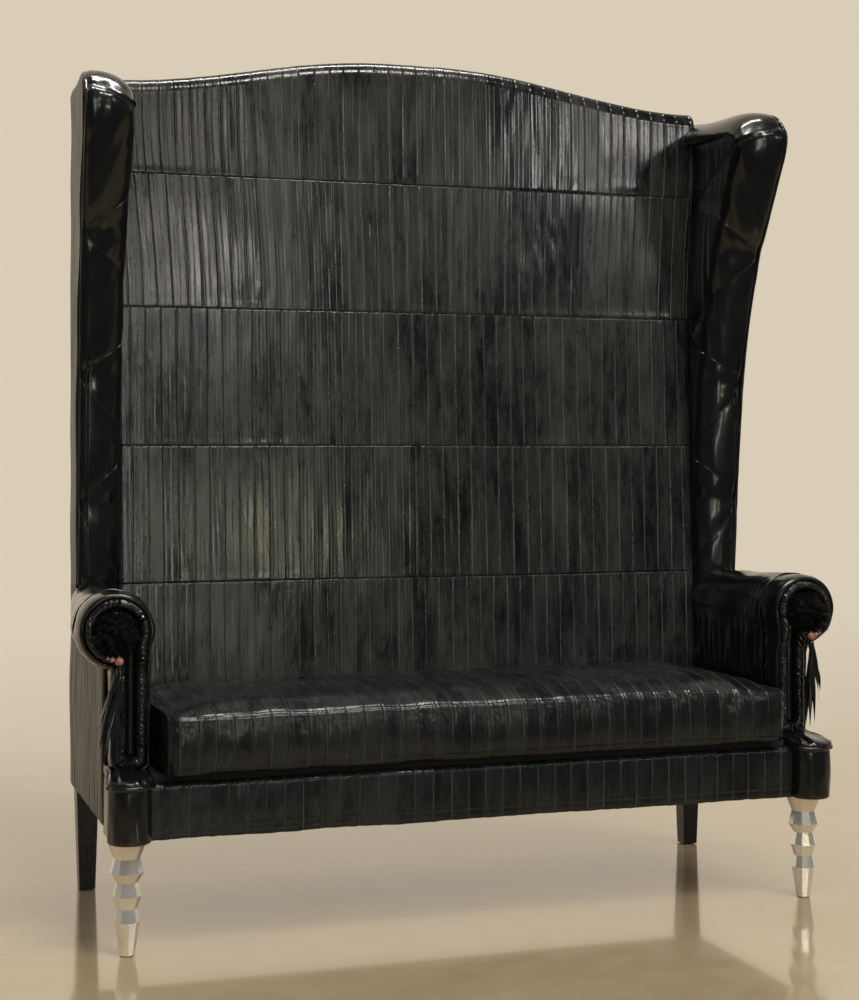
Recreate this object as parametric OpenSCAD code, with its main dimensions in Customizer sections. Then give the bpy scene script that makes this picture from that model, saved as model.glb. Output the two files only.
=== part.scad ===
/* [Overall] */
// From the front legs' centre line to the back of the sofa
rear_reach = 607; // [590:1:680]
// Clear width of the seat between the arm panels
seat_w = 1416; // [1000:2:1600]
// Height of the middle of the crest
crest_h = 1918; // [1880:1:1990]
// Depth of the crest's two ends below its middle
crest_fall = 76; // [60:1:90]
// Half width of the flat stretch in the middle of the crest
crest_flat = 60; // [20:5:200]
// Depth of the back at the seat, from its front surface to the back of the sofa
back_depth = 177; // [165:1:200]
// How far the inner back leans backward for each millimetre of height
back_lean = 0.049; // [0.02:0.001:0.055]
// How far the inner back swells forward in the middle
back_crown = 10; // [0:1:16]

/* [Arms] */
// Radius of the arm roll at its front seam
roll_r = 76; // [73:1:84]
// Radius of the arm roll where it meets the wing
roll_tail_r = 61; // [56:1:68]
// Height of the centre of the arm roll above the deck
arm_rise = 285; // [250:1:300]
// Radius of the scroll on the front of the arm
scroll_r = 68; // [64:1:70]
// How far the roll reaches over the seat, past the arm panel
roll_over = 8; // [4:1:12]
// Distance of the roll's front seam behind the front legs' centre line
seam_back = 86; // [80:1:96]
// Distance of the scroll's face behind the front legs' centre line
scroll_set = 18; // [12:1:24]
// Distance of the arm stem's face behind the front legs' centre line
stem_set = 30; // [26:1:38]
// Width of the arm stem below the scroll
stem_w = 78; // [76:1:82]
// Rounding of the arm stem's front corners
stem_round = 22; // [10:1:30]
// Thickness of the padding between the facing's recess and the front post
recess_wall = 3; // [1:0.5:5]
// Depth of the recess that holds the front facing
facing_recess = 14; // [12:1:18]
// Thickness of the front facing panel
facing_t = 7; // [4:1:9]
// Width of the gathered border round the front facing
border_w = 16; // [10:1:20]
// Thickness of the gathered border
border_t = 12; // [9:1:14]

/* [Wings] */
// Thickness of the wing at its front edge
wing_t = 112; // [104:1:120]
// Thickness of the wing at its rear edge
wing_rear_t = 84; // [82:1:92]
// Depth of the wing at the arm, from its front edge to the back of the sofa
wing_foot_depth = 203; // [190:1:220]
// Depth of the wing at its nose
wing_nose_depth = 438; // [380:1:470]
// Depth of the wing's brow below the ends of the crest
wing_step = 27; // [20:1:34]
// Depth of the wing's nose below the wing's brow
nose_drop = 71; // [60:1:90]
// Rise of the wing's top edge towards the back
wing_rise = 14; // [4:1:18]
// Rounding of the wing's inner front edge
wing_round_in = 34; // [20:1:38]
// Rounding of the wing's outer front edge
wing_round_out = 18; // [12:1:22]
// Radius of the piping cord
piping_r = 3; // [2:0.5:3.5]

/* [Seat] */
// Height of the front border's top edge above the seat rails
border_over = 9; // [5:1:13]
// Distance of the front border's face before the front legs' centre line
border_front = 25; // [22:1:30]
// Thickness of the front border's padding
border_pad = 9; // [6:1:11]
// Height of the deck's top above the seat rails
deck_h = 25; // [20:1:30]
// Height of the cushion's sewn edges
cushion_h = 118; // [90:1:125]
// Extra height of the middle of the cushion
cushion_crown = 22; // [10:1:35]
// Gap between each end of the cushion and the arm panel
cushion_side_gap = 16; // [9:1:24]
// Distance of the cushion's nose before the front legs' centre line
cushion_front = 54; // [40:1:60]
// Gap between the cushion and the inner back
cushion_back_gap = 4; // [2:1:10]
// How far the middle of each cushion side is drawn in
cushion_drawn = 7; // [2:1:14]
// How far the cushion's sides swell between the top and bottom seams
cushion_swell = 5; // [2:1:7]
// Thickness of the cushion's leather with its wadding
cushion_skin = 5; // [3:1:8]
// Length of the zip along the cushion's back
zip_l = 1000; // [600:10:1100]
// Height of the zip panel
zip_h = 40; // [25:1:50]

/* [Legs] */
// Distance of each leg's centre outside the inner face of the arm
leg_inset = 52; // [50:1:54]
// Height of a front leg with its glide
front_leg_h = 229; // [220:1:232]
// Radius of the front leg's top
leg_top_r = 40.4; // [36:0.1:42]
// Radius of the front leg's necks
leg_neck_r = 21; // [16:0.5:24]
// Radius of the front leg's upper ring
leg_ring_r = 34.5; // [30:0.5:38]
// Radius of the front leg's middle ring
leg_mid_r = 28.5; // [26:0.5:32]
// Radius of the front leg's lower ring
leg_low_r = 25.5; // [23:0.5:28]
// Radius of the front leg's foot
leg_foot_r = 15.5; // [12:0.5:18]
// Number of flat sides on a front leg
leg_sides = 10; // [8:1:12]
// Width of a back leg at its top
back_leg_top = 50; // [46:1:52]
// Width of a back leg at its foot
back_leg_foot = 36; // [28:1:40]
// How much longer a back leg is than a front leg
back_leg_rise = 8; // [2:1:12]
// Radius of the round base below each arm
base_r = 44; // [42:1:48]
// Distance of the round base's centre before the front legs' centre line
base_set = 30; // [26:1:34]
// How far the base's rounded shoulder stands out from the base
lip_out = 6; // [3:1:8]
// Height of the shoulder's widest line above the front border
lip_rise = 5; // [1:1:12]
// Height of the top of the base's shoulder above the deck
shoulder_rise = 31; // [24:1:36]

/* [Ornaments] */
// Greatest radius of the rosette
rosette_r = 56; // [50:1:58]
// Depth of the rosette, from the facing to its front
rosette_depth = 66; // [60:1:74]
// Radius of the large bead
bead_r = 9; // [7:0.5:10]
// Length of the tassel's longest thong
tassel_l = 172; // [120:1:175]
// Width of a thong at its widest
thong_w = 12; // [8:1:14]
// Thickness of a thong
thong_t = 1.6; // [1.2:0.1:2]
// Number of thongs in a tassel
thong_count = 7; // [5:1:8]
// Angle between one thong and the next
thong_spread = 4; // [2:0.5:5]

/* [Frame] */
// Thickness of the posts and the side rails
post_w = 36; // [30:1:38]
// Depth of a front post
front_post_d = 60; // [50:1:68]
// Distance of the front post's foot before the front legs' centre line
post_front = 38; // [30:1:40]
// Depth of a back post
back_post_d = 45; // [36:1:48]
// Thickness of the front, rear and back rails
rail_t = 28; // [22:1:30]
// Height of the seat rails
rail_h = 92; // [60:1:92]
// Height of the board inside each arm
arm_board_h = 44; // [30:1:50]
// Thickness of the plywood wing frame
wing_ply = 24; // [16:1:26]
// Padding between the wing frame and the wing's edge
wing_pad = 34; // [30:1:44]
// Height of each cross rail in the back
back_rail_h = 60; // [40:1:80]
// Height of the lowest cross rail above the seat rails
back_rail_rise = 118; // [80:1:160]
// Height of the crest rail at its ends
crest_rail_h = 78; // [60:1:100]
// Width of a webbing strap
web_w = 50; // [35:1:60]
// Thickness of a webbing strap
web_t = 2; // [1:0.2:2.4]
// Thickness of the leather with its wadding on the inner back
back_skin = 6; // [4:1:8]
// Thickness of the outer back panel
outer_back_t = 15; // [10:1:18]
// Side of a corner block
block_side = 60; // [40:1:80]
// Radius of the leg bolts
bolt_r = 4; // [3:0.5:5]
// Thickness of the leg plates
plate_t = 3; // [2:0.5:4]
// Thickness of the glides
glide_t = 2; // [1:0.5:3]
// Radius of the corner screws' shanks
screw_r = 2.2; // [1.8:0.1:2.8]
// Length of the corner screws' shanks
screw_l = 34; // [25:1:45]

/* [Hidden] */

leather = "#1b1c1e";
patent = "#0c0d0f";
timber = "#b08a5a";
ply = "#c6a57a";
foam = "#e6dcb8";
cloth = "#26262a";
jute = "#9a8560";
steel = "#a9adb2";
silver = "#d8d8d6";
fur = "#050506";
bead_pink = "#b9817a";

// Clearance round soft and curved pieces
gap = 0.3;
// Length of a cut that runs out of a piece
over = 20;
// How far the inner arm panel stops short of the back posts
wall_short = 36;
// How far the deck's front edge lies behind the front rail's face
deck_set = 12;
// Depth of the arm board's underside below the centre of the roll
board_drop = 44;
// How far the inner arm panel and the inner back reach below the deck's top
wall_drop = 12;
back_drop = 16;
// Height of the outer side panel's top above the centre of the roll
side_rise = 58;
// Room between the end of the roll and the wing's foot
wing_room = 2;
// Length over which the crest's end runs level
crest_level = 18;

// Datum lines: Y is 0 midway between the front of the round bases and the back of the sofa
front_reach = base_set + base_r + lip_out;
leg_y = (front_reach - rear_reach) / 2;
rear_y = leg_y + rear_reach;
arm_in = seat_w / 2;
leg_x = arm_in + leg_inset;
post_in = leg_x - post_w / 2;
post_out = leg_x + post_w / 2;
side_out = arm_in + wing_rear_t;

// The back stack, from the outer back panel inward
back_leg_y = rear_y - back_leg_top / 2;
panel_y1 = rear_y - 1;
panel_y0 = panel_y1 - outer_back_t;
back_post_y0 = panel_y0 - back_post_d;
web_back_y = back_post_y0 - 2 * web_t - 2 * gap;
inner_wall_end = back_post_y0 - wall_short;

// The seat stack, from the rails upward
back_leg_h = front_leg_h + back_leg_rise;
rail_z0 = back_leg_h + plate_t;
rail_z1 = rail_z0 + rail_h;
border_top = rail_z1 + border_over;
deck_top = rail_z1 + deck_h;
seat_z = deck_top + cushion_h + cushion_crown;
web_top = rail_z1 + 2 * web_t + gap;
panel_bottom = rail_z0 + 1;
front_rail_y0 = leg_y - border_front + border_pad + gap;
front_rail_y1 = front_rail_y0 + rail_t;
front_post_y0 = leg_y - post_front;
front_post_y1 = front_post_y0 + front_post_d;
back_z0 = deck_top - back_drop;
deck_y0 = front_rail_y0 + deck_set;
deck_y1 = back_y(0, back_z0) - gap;

// The crest and the wing
crest_end_h = crest_h - crest_fall;
wing_h = crest_end_h - wing_step;
nose_h = wing_h - nose_drop;

// The arm
lip_z = border_top + lip_rise;
shoulder_z = deck_top + shoulder_rise;
roll_z = deck_top + arm_rise;
roll_x = arm_in - roll_over + roll_r;
seam_y = leg_y + seam_back;
stem_y0 = leg_y + stem_set;
scroll_y0 = leg_y + scroll_set;
wing_foot_y = rear_y - wing_foot_depth;
wing_nose_y = rear_y - wing_nose_depth;
roll_end_y = wing_foot_y - wing_room;
board_z0 = roll_z - board_drop;
board_z1 = board_z0 + arm_board_h;
arm_wall_z0 = deck_top - wall_drop;
side_top = roll_z + side_rise;
wing_z0 = side_top + gap;
recess_y = stem_y0 + facing_recess;
arm_post_y0 = recess_y + recess_wall;
arm_post_y1 = arm_post_y0 + front_post_d;
facing_y0 = recess_y - gap - facing_t;
stem_mid = arm_in + stem_w / 2;

// The cushion
cushion_y0 = leg_y - cushion_front;
cushion_y1 = back_y(0, deck_top + cushion_h / 2) - cushion_back_gap;
cushion_z0 = deck_top + gap;
cushion_mid = (cushion_y0 + cushion_y1) / 2;
cushion_half = [arm_in - cushion_side_gap, (cushion_y1 - cushion_y0) / 2];

// Crest of the back, as a height over x
function crest(x) = let (s = min(1, max(0, (abs(x) - crest_flat) / (arm_in - crest_level - crest_flat))))
    crest_end_h + (crest_h - crest_end_h) * (0.5 + 0.5 * cos(180 * s));

// Front surface of the inner back, as a distance over x and z
function back_y(x, z) = rear_y - back_depth + back_lean * (z - seat_z)
    - back_crown * max(0, 1 - pow(x / arm_in, 2));

// A smooth curve through points, with so many steps to each span
function through(p, steps) = concat([for (i = [0 : len(p) - 2], k = [0 : steps - 1])
    let (t = k / steps, a = p[max(0, i - 1)], b = p[i], c = p[i + 1], d = p[min(len(p) - 1, i + 2)])
    0.5 * (2 * b + (c - a) * t + (2 * a - 5 * b + 4 * c - d) * t * t
        + (3 * b - a - 3 * c + d) * t * t * t)], [p[len(p) - 1]]);

function unit(v) = v / norm(v);

// Triangles of a closed skin over rings of n points that run clockwise as the rings advance
function side_faces(rings, n) = [for (k = [0 : rings - 2], i = [0 : n - 1])
    let (a = k * n + i, b = k * n + (i + 1) % n) each [[a, b, b + n], [a, b + n, a + n]]];

// The skin with a flat face at each end
function skin_faces(rings, n) = concat([[for (i = [n - 1 : -1 : 0]) i]], side_faces(rings, n),
    [[for (i = [0 : n - 1]) (rings - 1) * n + i]]);

// The skin with a pole at each end, the first one's point before the last one's
function pole_faces(rings, n) = let (first = rings * n, last = first - n) concat(
    [for (i = [0 : n - 1]) [first, (i + 1) % n, i]], side_faces(rings, n),
    [for (i = [0 : n - 1]) [first + 1, last + i, last + (i + 1) % n]]);

function flatten(lists) = [for (l = lists) each l];

module box(x0, x1, y0, y1, z0, z1) {
    translate([x0, y0, z0]) cube([x1 - x0, y1 - y0, z1 - z0]);
}

// A drawing in x and z, made solid from y0 to y1
module along_y(y0, y1) {
    translate([0, y1, 0]) rotate([90, 0, 0]) linear_extrude(y1 - y0) children();
}

// A drawing in y and z, made solid from x0 to x1
module along_x(x0, x1) {
    translate([x0, 0, 0]) rotate([90, 0, 90]) linear_extrude(x1 - x0) children();
}

module both_sides() {
    children();
    mirror([1, 0, 0]) children();
}

// A round cord of radius r through path, in a plane whose normal is side
module cord(path, r, side, sides = 6) {
    last = len(path) - 1;
    rings = [for (i = [0 : last])
        let (t = unit(path[min(last, i + 1)] - path[max(0, i - 1)]), up = unit(cross(t, side)))
        [for (k = [0 : sides - 1]) let (a = 360 * k / sides)
            path[i] + r * (cos(a) * side - sin(a) * up)]];
    polyhedron(flatten(rings), skin_faces(last + 1, sides));
}

// Wood frame
// How far stretchers and corner blocks stay clear of the rails' edges
block_set = 10;

module front_rail() {
    color(timber) box(-post_in, post_in, front_rail_y0, front_rail_y1, rail_z0, rail_z1);
}

module rear_rail() {
    color(timber) box(-post_in, post_in, back_post_y0, back_post_y0 + rail_t, rail_z0, rail_z1);
}

module side_rail_right() {
    color(timber) box(post_in, post_out, front_post_y1, back_post_y0, rail_z0, rail_z1);
}

module side_rail_left() {
    mirror([1, 0, 0]) side_rail_right();
}

module seat_stretchers() {
    color(timber) both_sides()
        box(seat_w / 6, seat_w / 6 + rail_t, front_rail_y1, back_post_y0,
            rail_z0 + block_set, rail_z0 + rail_h / 2 + block_set);
}

block_z0 = rail_z0 + block_set;
block_z1 = rail_z1 - block_set - 2;

// The triangle of a corner block, from its square corner at the origin
module block_outline() {
    polygon([[0, 0], [-block_side, 0], [0, block_side]]);
}

module at_corners() {
    both_sides() {
        translate([post_in, front_rail_y1, 0]) children();
        translate([post_in, back_post_y0, 0]) mirror([0, 1, 0]) children();
    }
}

// Places of the two screws in a corner block
module at_screws() {
    for (s = [[-0.28, 0.2], [-0.2, 0.5]])
        translate([s[0] * block_side, s[1] * block_side, 0]) children();
}

module corner_blocks() {
    color(timber) at_corners() difference() {
        translate([0, 0, block_z0]) linear_extrude(block_z1 - block_z0) block_outline();
        at_screws() translate([0, 0, block_z0 - over]) cylinder(h = over + screw_l + 1, r = screw_r + 0.05);
    }
}

module corner_screws() {
    color(steel) at_corners() at_screws() {
        translate([0, 0, block_z0]) cylinder(h = screw_l, r = screw_r);
        translate([0, 0, block_z0 - screw_r]) cylinder(h = screw_r, r = 2 * screw_r);
    }
}

// The bolt hole of a leg, open at the top of the piece below it and the bottom of the one above
module bolt_hole(x, y, z0, z1) {
    translate([x, y, z0]) cylinder(h = z1 - z0, r = bolt_r + 0.05);
}

bolt_up = 45;
bolt_down = 38;
front_post_z0 = front_leg_h + plate_t;
back_bolt_y = back_post_y0 + back_post_d / 2;

// A front post stands on its leg, steps back over the side rail and rises inside the arm
module front_post_right() {
    color(timber) difference() {
        union() {
            box(post_in, post_out, front_post_y0, front_post_y1, front_post_z0, deck_top);
            box(post_in, post_out, front_post_y0, arm_post_y1, rail_z1, deck_top);
            box(post_in, post_out, arm_post_y0, arm_post_y1, rail_z1, board_z0);
        }
        bolt_hole(leg_x, leg_y, front_post_z0 - over, front_leg_h + bolt_up + 1);
    }
}

module front_post_left() {
    mirror([1, 0, 0]) front_post_right();
}

module arm_board_right() {
    color(timber) box(post_in, post_out, arm_post_y0, back_post_y0, board_z0, board_z1);
}

module arm_board_left() {
    mirror([1, 0, 0]) arm_board_right();
}

crest_rail_drop = 50;
// Top of the back posts, and of the crest rail's ends inside the wings
frame_top = min(crest(post_in), wing_h) - crest_rail_drop - 1;
crest_rail_z0 = frame_top - crest_rail_h;

module back_post_right() {
    color(timber) difference() {
        box(post_in, post_out, back_post_y0, panel_y0, rail_z0, frame_top);
        bolt_hole(leg_x, back_bolt_y, rail_z0 - over, back_leg_h + bolt_up + 1);
    }
}

module back_post_left() {
    mirror([1, 0, 0]) back_post_right();
}

module crest_rail() {
    steps = 16;
    color(timber) along_y(back_post_y0, back_post_y0 + rail_t)
        polygon(concat([[-post_in, crest_rail_z0], [post_in, crest_rail_z0], [post_in, frame_top],
            [arm_in, frame_top]],
            [for (i = [steps : -1 : -steps]) let (x = arm_in * i / steps)
                [x, crest(x) - crest_rail_drop]],
            [[-arm_in, frame_top], [-post_in, frame_top]]));
}

back_rail_z0 = rail_z1 + back_rail_rise;
back_rail_rows = [for (k = [0 : 2]) back_rail_z0 + k * (crest_rail_z0 - back_rail_z0) / 3];

module back_rails() {
    color(timber) for (z = back_rail_rows)
        box(-post_in, post_in, back_post_y0, back_post_y0 + rail_t, z, z + back_rail_h);
}

// Front edge of the wing: how much of its reach it has at how much of its height
wing_sweep = [[0, 0], [0.1, 0.29], [0.24, 0.53], [0.46, 0.71], [0.8, 0.88], [0.96, 0.955], [1, 1]];
// Top edge of the wing, from the nose to the highest point
wing_brow = [[0.11, 0.42], [0.39, 0.76], [1, 1]];
// How much of the wing's depth lies between the nose and the highest point
brow_share = 0.67;
// Height from which the whole edge of the wing is in sight, as a share of the nose's
wing_hub_share = 0.77;

// The wing's edge from the arm up over the nose and back to the rear, as [y, z]
wing_edge = let (
    foot = [wing_foot_y, wing_z0],
    nose = [wing_nose_y, nose_h],
    peak = [nose[0] + brow_share * (panel_y0 - nose[0]), wing_h],
    sweep = [for (s = wing_sweep) [foot[0] + s[0] * (nose[0] - foot[0]),
        foot[1] + s[1] * (nose[1] - foot[1])]],
    brow = [for (s = wing_brow) [nose[0] + s[0] * (peak[0] - nose[0]),
        nose[1] + s[1] * (peak[1] - nose[1])]])
    through(concat(sweep, brow, [[panel_y0, wing_h + wing_rise]]), 3);

// The same edge drawn in by s, closed along the rear and the bottom
function wing_outline(s, z0) = let (p = wing_edge, last = len(p) - 1) concat(
    [[p[0][0] + s, z0]],
    [for (i = [1 : last - 1]) let (t = unit(p[i + 1] - p[i - 1])) p[i] + s * [t[1], -t[0]]],
    [[p[last][0], p[last][1] - s], [p[last][0], z0]]);

// Outer face of the wing at distance y, which is thinner towards the rear
function wing_x(share, y) = arm_in + share
    * (wing_rear_t + (wing_t - wing_rear_t) * (panel_y0 - y) / (panel_y0 - wing_nose_y));

// The wing's side view drawn in by s along its edge, as far back as y1 and down to z0
module wing_core(s, y1, z0) {
    bottom = z0 - s - 1;
    rear = panel_y0 + over + s + 1;
    intersection() {
        offset(delta = -s) polygon(concat([[wing_foot_y, bottom]], wing_edge,
            [[rear, wing_h + wing_rise], [rear, bottom]]));
        translate([wing_nose_y, z0]) square([y1 - wing_nose_y, wing_h + wing_rise - z0]);
    }
}

module wing_frame_right() {
    color(ply) along_x(leg_x - wing_ply / 2, leg_x + wing_ply / 2)
        wing_core(wing_pad, back_post_y0, board_z1);
}

module wing_frame_left() {
    mirror([1, 0, 0]) wing_frame_right();
}

// Stations across the wing: share of its thickness and how far its edge is drawn in there
wing_stations = concat(
    [for (a = [0, 22, 45, 68, 90]) [wing_round_in * (1 - cos(a)) / wing_t,
        wing_round_in * (1 - sin(a))]],
    [for (a = [90, 60, 30, 0]) [1 - wing_round_out * (1 - cos(a)) / wing_t,
        wing_round_out * (1 - sin(a))]]);

module wing_cover_right() {
    n = len(wing_edge) + 1;
    rings = [for (s = wing_stations) [for (p = wing_outline(s[1], wing_z0))
        [wing_x(s[0], p[0]), p[0], p[1]]]];
    hub_z = wing_z0 + wing_hub_share * (nose_h - wing_z0);
    hubs = [for (share = [wing_stations[0][0], wing_stations[len(rings) - 1][0]])
        [wing_x(share, wing_foot_y), wing_foot_y, hub_z]];
    color(patent) difference() {
        polyhedron(concat(flatten(rings), hubs), pole_faces(len(rings), n));
        along_x(leg_x - wing_ply / 2 - gap, leg_x + wing_ply / 2 + gap)
            wing_core(wing_pad - gap, panel_y0 + over, board_z1 - over);
        box(arm_in - over, post_out + gap, back_post_y0 - gap, panel_y0 + over,
            0, frame_top + gap);
    }
}

module wing_cover_left() {
    mirror([1, 0, 0]) wing_cover_right();
}

// Webbing and the deck
strap_span = (arm_in - web_w) * 2;

module seat_webbing() {
    straps = 9;
    rows = 4;
    run = back_post_y0 - arm_post_y1;
    color(jute) {
        for (k = [0 : straps - 1]) let (x = -strap_span / 2 + strap_span * k / (straps - 1))
            box(x - web_w / 2, x + web_w / 2, deck_y0, back_post_y0 + rail_t, rail_z1, rail_z1 + web_t);
        for (k = [0 : rows - 1]) let (y = arm_post_y1 + run * (k + 0.5) / rows)
            box(-leg_x, leg_x, y - web_w / 2, y + web_w / 2,
                rail_z1 + web_t + gap / 2, rail_z1 + 2 * web_t + gap / 2);
    }
}

module back_webbing() {
    straps = 8;
    rows = 6;
    z0 = back_rail_rows[0];
    z1 = crest_rail_z0 + back_rail_h;
    color(jute) {
        for (k = [0 : straps - 1]) let (x = -strap_span / 2 + strap_span * k / (straps - 1))
            box(x - web_w / 2, x + web_w / 2, back_post_y0 - web_t, back_post_y0, z0, z1);
        for (k = [0 : rows - 1]) let (z = z0 + web_w + (z1 - z0 - 2 * web_w) * k / (rows - 1))
            box(-arm_in + web_w / 2, arm_in - web_w / 2, back_post_y0 - 2 * web_t - gap / 2,
                back_post_y0 - web_t - gap / 2, z - web_w / 2, z + web_w / 2);
    }
}

module seat_deck() {
    color(cloth) box(-arm_in + gap, arm_in - gap, deck_y0, deck_y1, web_top, deck_top);
}

// The cushion: rings of a rounded, drawn-in rectangle, stacked from its bottom to its crown
corner_round = 46;

// Half a ring, from the front left corner round to the back right one: counts are the points
// along the front, along the side and in each corner
function half_ring(inset, swell, counts) = let (
    half = cushion_half + [swell - inset, swell - inset],
    r = max(4, corner_round - inset),
    draw = cushion_drawn * (1 - inset / 300),
    flat = half - [r, r])
    concat(
    [for (i = [0 : counts[0] - 1]) let (u = 2 * i / counts[0] - 1)
        [u * flat[0], draw * (1 - u * u) - half[1]]],
    [for (i = [0 : counts[2] - 1]) let (a = 90 * i / counts[2] - 90)
        [flat[0] + r * cos(a), r * sin(a) - flat[1]]],
    [for (i = [0 : counts[1] - 1]) let (u = 2 * i / counts[1] - 1)
        [half[0] - draw * (1 - u * u), u * flat[1]]],
    [for (i = [0 : counts[2] - 1]) let (a = 90 * i / counts[2])
        [flat[0] + r * cos(a), flat[1] + r * sin(a)]]);

// Levels of the cushion from bottom to top: [inset, swell, height above its bottom]
function cushion_levels(skin) = let (h = cushion_h, top = cushion_h - skin, c = cushion_crown)
    [[9 + skin, 0, skin], [2 + skin, 1, skin + 9],
        [skin, cushion_swell, h * 0.3], [skin, cushion_swell + 1, h * 0.55],
        [skin + 1, cushion_swell - 1, h * 0.8], [skin + 4, 1, top - 7], [skin + 12, 0, top],
        [skin + 34, 0, top + c * 0.36], [skin + 80, 0, top + c * 0.72],
        [skin + 150, 0, top + c * 0.95]];

module cushion_form(skin, counts) {
    levels = cushion_levels(skin);
    rings = [for (l = levels) let (half = half_ring(l[0], l[1], counts))
        [for (p = concat(half, -half)) [-p[0], cushion_mid + p[1], cushion_z0 + l[2]]]];
    poles = [[0, cushion_mid, cushion_z0 + skin],
        [0, cushion_mid, cushion_z0 + cushion_h - skin + cushion_crown]];
    polyhedron(concat(flatten(rings), poles), pole_faces(len(levels), len(rings[0])));
}

fine = [16, 6, 3];
coarse = [10, 4, 2];

// The leather all round, before the zip's opening is cut
module cushion_shell() {
    difference() {
        cushion_form(0, fine);
        cushion_form(cushion_skin, coarse);
    }
}

module zip_opening(inset) {
    z = cushion_z0 + cushion_h / 2 - zip_h / 2;
    box(inset - zip_l / 2, zip_l / 2 - inset, cushion_mid, cushion_y1 + over,
        z + inset, z + zip_h - inset);
}

module cushion_cover() {
    color(leather) difference() {
        cushion_shell();
        zip_opening(0);
    }
}

module cushion_zip_panel() {
    color(cloth) intersection() {
        cushion_shell();
        zip_opening(gap);
    }
}

module cushion_core() {
    color(foam) cushion_form(cushion_skin + gap, coarse);
}

// The inner back: sections in y and z at stations across it, drawn in by inset
crest_nose = [24, 36];
// Fall of the crest from its top to the outer back
crest_slope = 18;

function back_section(x, inset, rear, z0) = let (
    top = crest(x) - inset,
    nose_y = back_y(x, top - crest_nose[1]) + inset,
    peak_y = nose_y + crest_nose[0],
    run = panel_y0 - peak_y)
    concat(
    [[x, back_y(x, z0) + inset, z0]],
    [for (a = [0, 25, 50, 75]) [x, peak_y - crest_nose[0] * cos(a),
        top - crest_nose[1] * (1 - sin(a))]],
    [for (a = [0, 30, 60]) [x, peak_y + run * sin(a), top - crest_slope * (1 - cos(a))]],
    [[x, rear, top - crest_slope], [x, rear, z0]]);

function back_rings(half, inset, rear, z0) = let (steps = 9)
    [for (i = [-steps : steps]) back_section(half * i / steps, inset, rear, z0)];

module back_form(half, inset, rear, z0) {
    rings = back_rings(half, inset, rear, z0);
    polyhedron(flatten(rings), skin_faces(len(rings), len(rings[0])));
}

module back_cover() {
    color(leather) difference() {
        back_form(arm_in - gap, 0, panel_y0, back_z0);
        back_form(arm_in - gap - back_skin, back_skin, panel_y0 + over, back_z0 - over);
        box(-arm_in - over, arm_in + over, inner_wall_end, panel_y0 + 2 * over,
            0, crest(arm_in) - crest_rail_drop + gap);
    }
}

module back_foam() {
    inset = back_skin + gap;
    color(foam) intersection() {
        back_form(arm_in - gap - inset, inset, panel_y0, back_z0);
        box(-arm_in, arm_in, leg_y, web_back_y, 0, crest_h);
    }
}

// The outer back panel, inside its piping
back_edge = 2 * piping_r + gap;
back_half = side_out - back_edge;
function panel_top(x) = min(crest(x) - crest_slope,
    abs(x) > arm_in ? wing_h + wing_rise - wing_round_out * pow((abs(x) - arm_in) / wing_rear_t, 4)
    : crest_h) - back_edge;

back_outline = concat(
    [[-back_half, panel_bottom + 60]],
    [for (i = [-18 : 18]) let (x = back_half * i / 18) [x, panel_top(x)]],
    [[back_half, panel_bottom + 60]]);

module outer_back() {
    color(leather) along_y(panel_y0, panel_y1)
        polygon(concat([[-back_half, panel_bottom]], back_outline, [[back_half, panel_bottom]]));
}

module back_piping() {
    path = [for (p = back_outline) let (away = abs(p[0]) >= back_half - 0.01)
        [p[0] + (away ? sign(p[0]) * (piping_r + gap) : 0), panel_y0 + piping_r + gap,
            p[1] + (p[1] > panel_bottom + 61 ? piping_r + 2 * gap : 0)]];
    color(patent) cord(path, piping_r, [0, 1, 0]);
}

// Piping on the wing's outer front edge
module wing_piping_right() {
    inset = wing_round_out - (wing_round_out + piping_r + gap) * cos(45);
    p = wing_outline(inset, wing_z0);
    path = [for (i = [1 : len(p) - 3]) [wing_x(1, p[i][0]) - inset, p[i][0], p[i][1]]];
    color(patent) cord(path, piping_r, [1, 0, 0]);
}

module wing_piping_left() {
    mirror([1, 0, 0]) wing_piping_right();
}

// The roll of the arm, a cone whose inner side runs along the seat
module roll_cone(extra) {
    run = roll_end_y - seam_y;
    turn = atan((roll_r - roll_tail_r) / run);
    translate([roll_x, seam_y, roll_z]) rotate([0, 0, turn]) rotate([-90, 0, 0])
        translate([0, 0, -over]) cylinder(h = run + 2 * over,
            r1 = roll_r + extra + (roll_r - roll_tail_r) * over / run,
            r2 = roll_tail_r + extra - (roll_r - roll_tail_r) * over / run, $fn = 72);
}

// Room for the arm board, the post and the hollow below them
module arm_hollow(y0, y1) {
    box(post_in - gap, post_out + gap, y0, y1, 0, board_z1 + gap);
}

module arm_pad_right() {
    color(patent) difference() {
        union() {
            intersection() {
                roll_cone(0);
                box(0, 2 * leg_x, seam_y + gap, roll_end_y, 0, 2 * roll_z);
            }
            box(arm_in, post_in, seam_y + gap, roll_end_y, arm_wall_z0, roll_z);
            box(arm_in, post_in - gap, roll_end_y - 1, inner_wall_end, arm_wall_z0, side_top);
        }
        arm_hollow(seam_y - over, roll_end_y + over);
    }
}

module arm_pad_left() {
    mirror([1, 0, 0]) arm_pad_right();
}

// The padded front of the arm: the scroll's round end over the stem
scroll_bulge = 1.5;

module scroll_end() {
    depth = seam_y - scroll_y0;
    fall = roll_r - scroll_r;
    translate([roll_x, seam_y, roll_z]) rotate([90, 0, 0]) rotate_extrude($fn = 72)
        polygon(concat([[0, 0], [roll_r, 0], [roll_r + scroll_bulge, depth * 0.3]],
            [for (a = [90 : -15 : 0]) [scroll_r + (fall + scroll_bulge) * sin(a),
                depth * 0.45 + depth * 0.55 * cos(a)]],
            [[0, depth]]));
}

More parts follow.
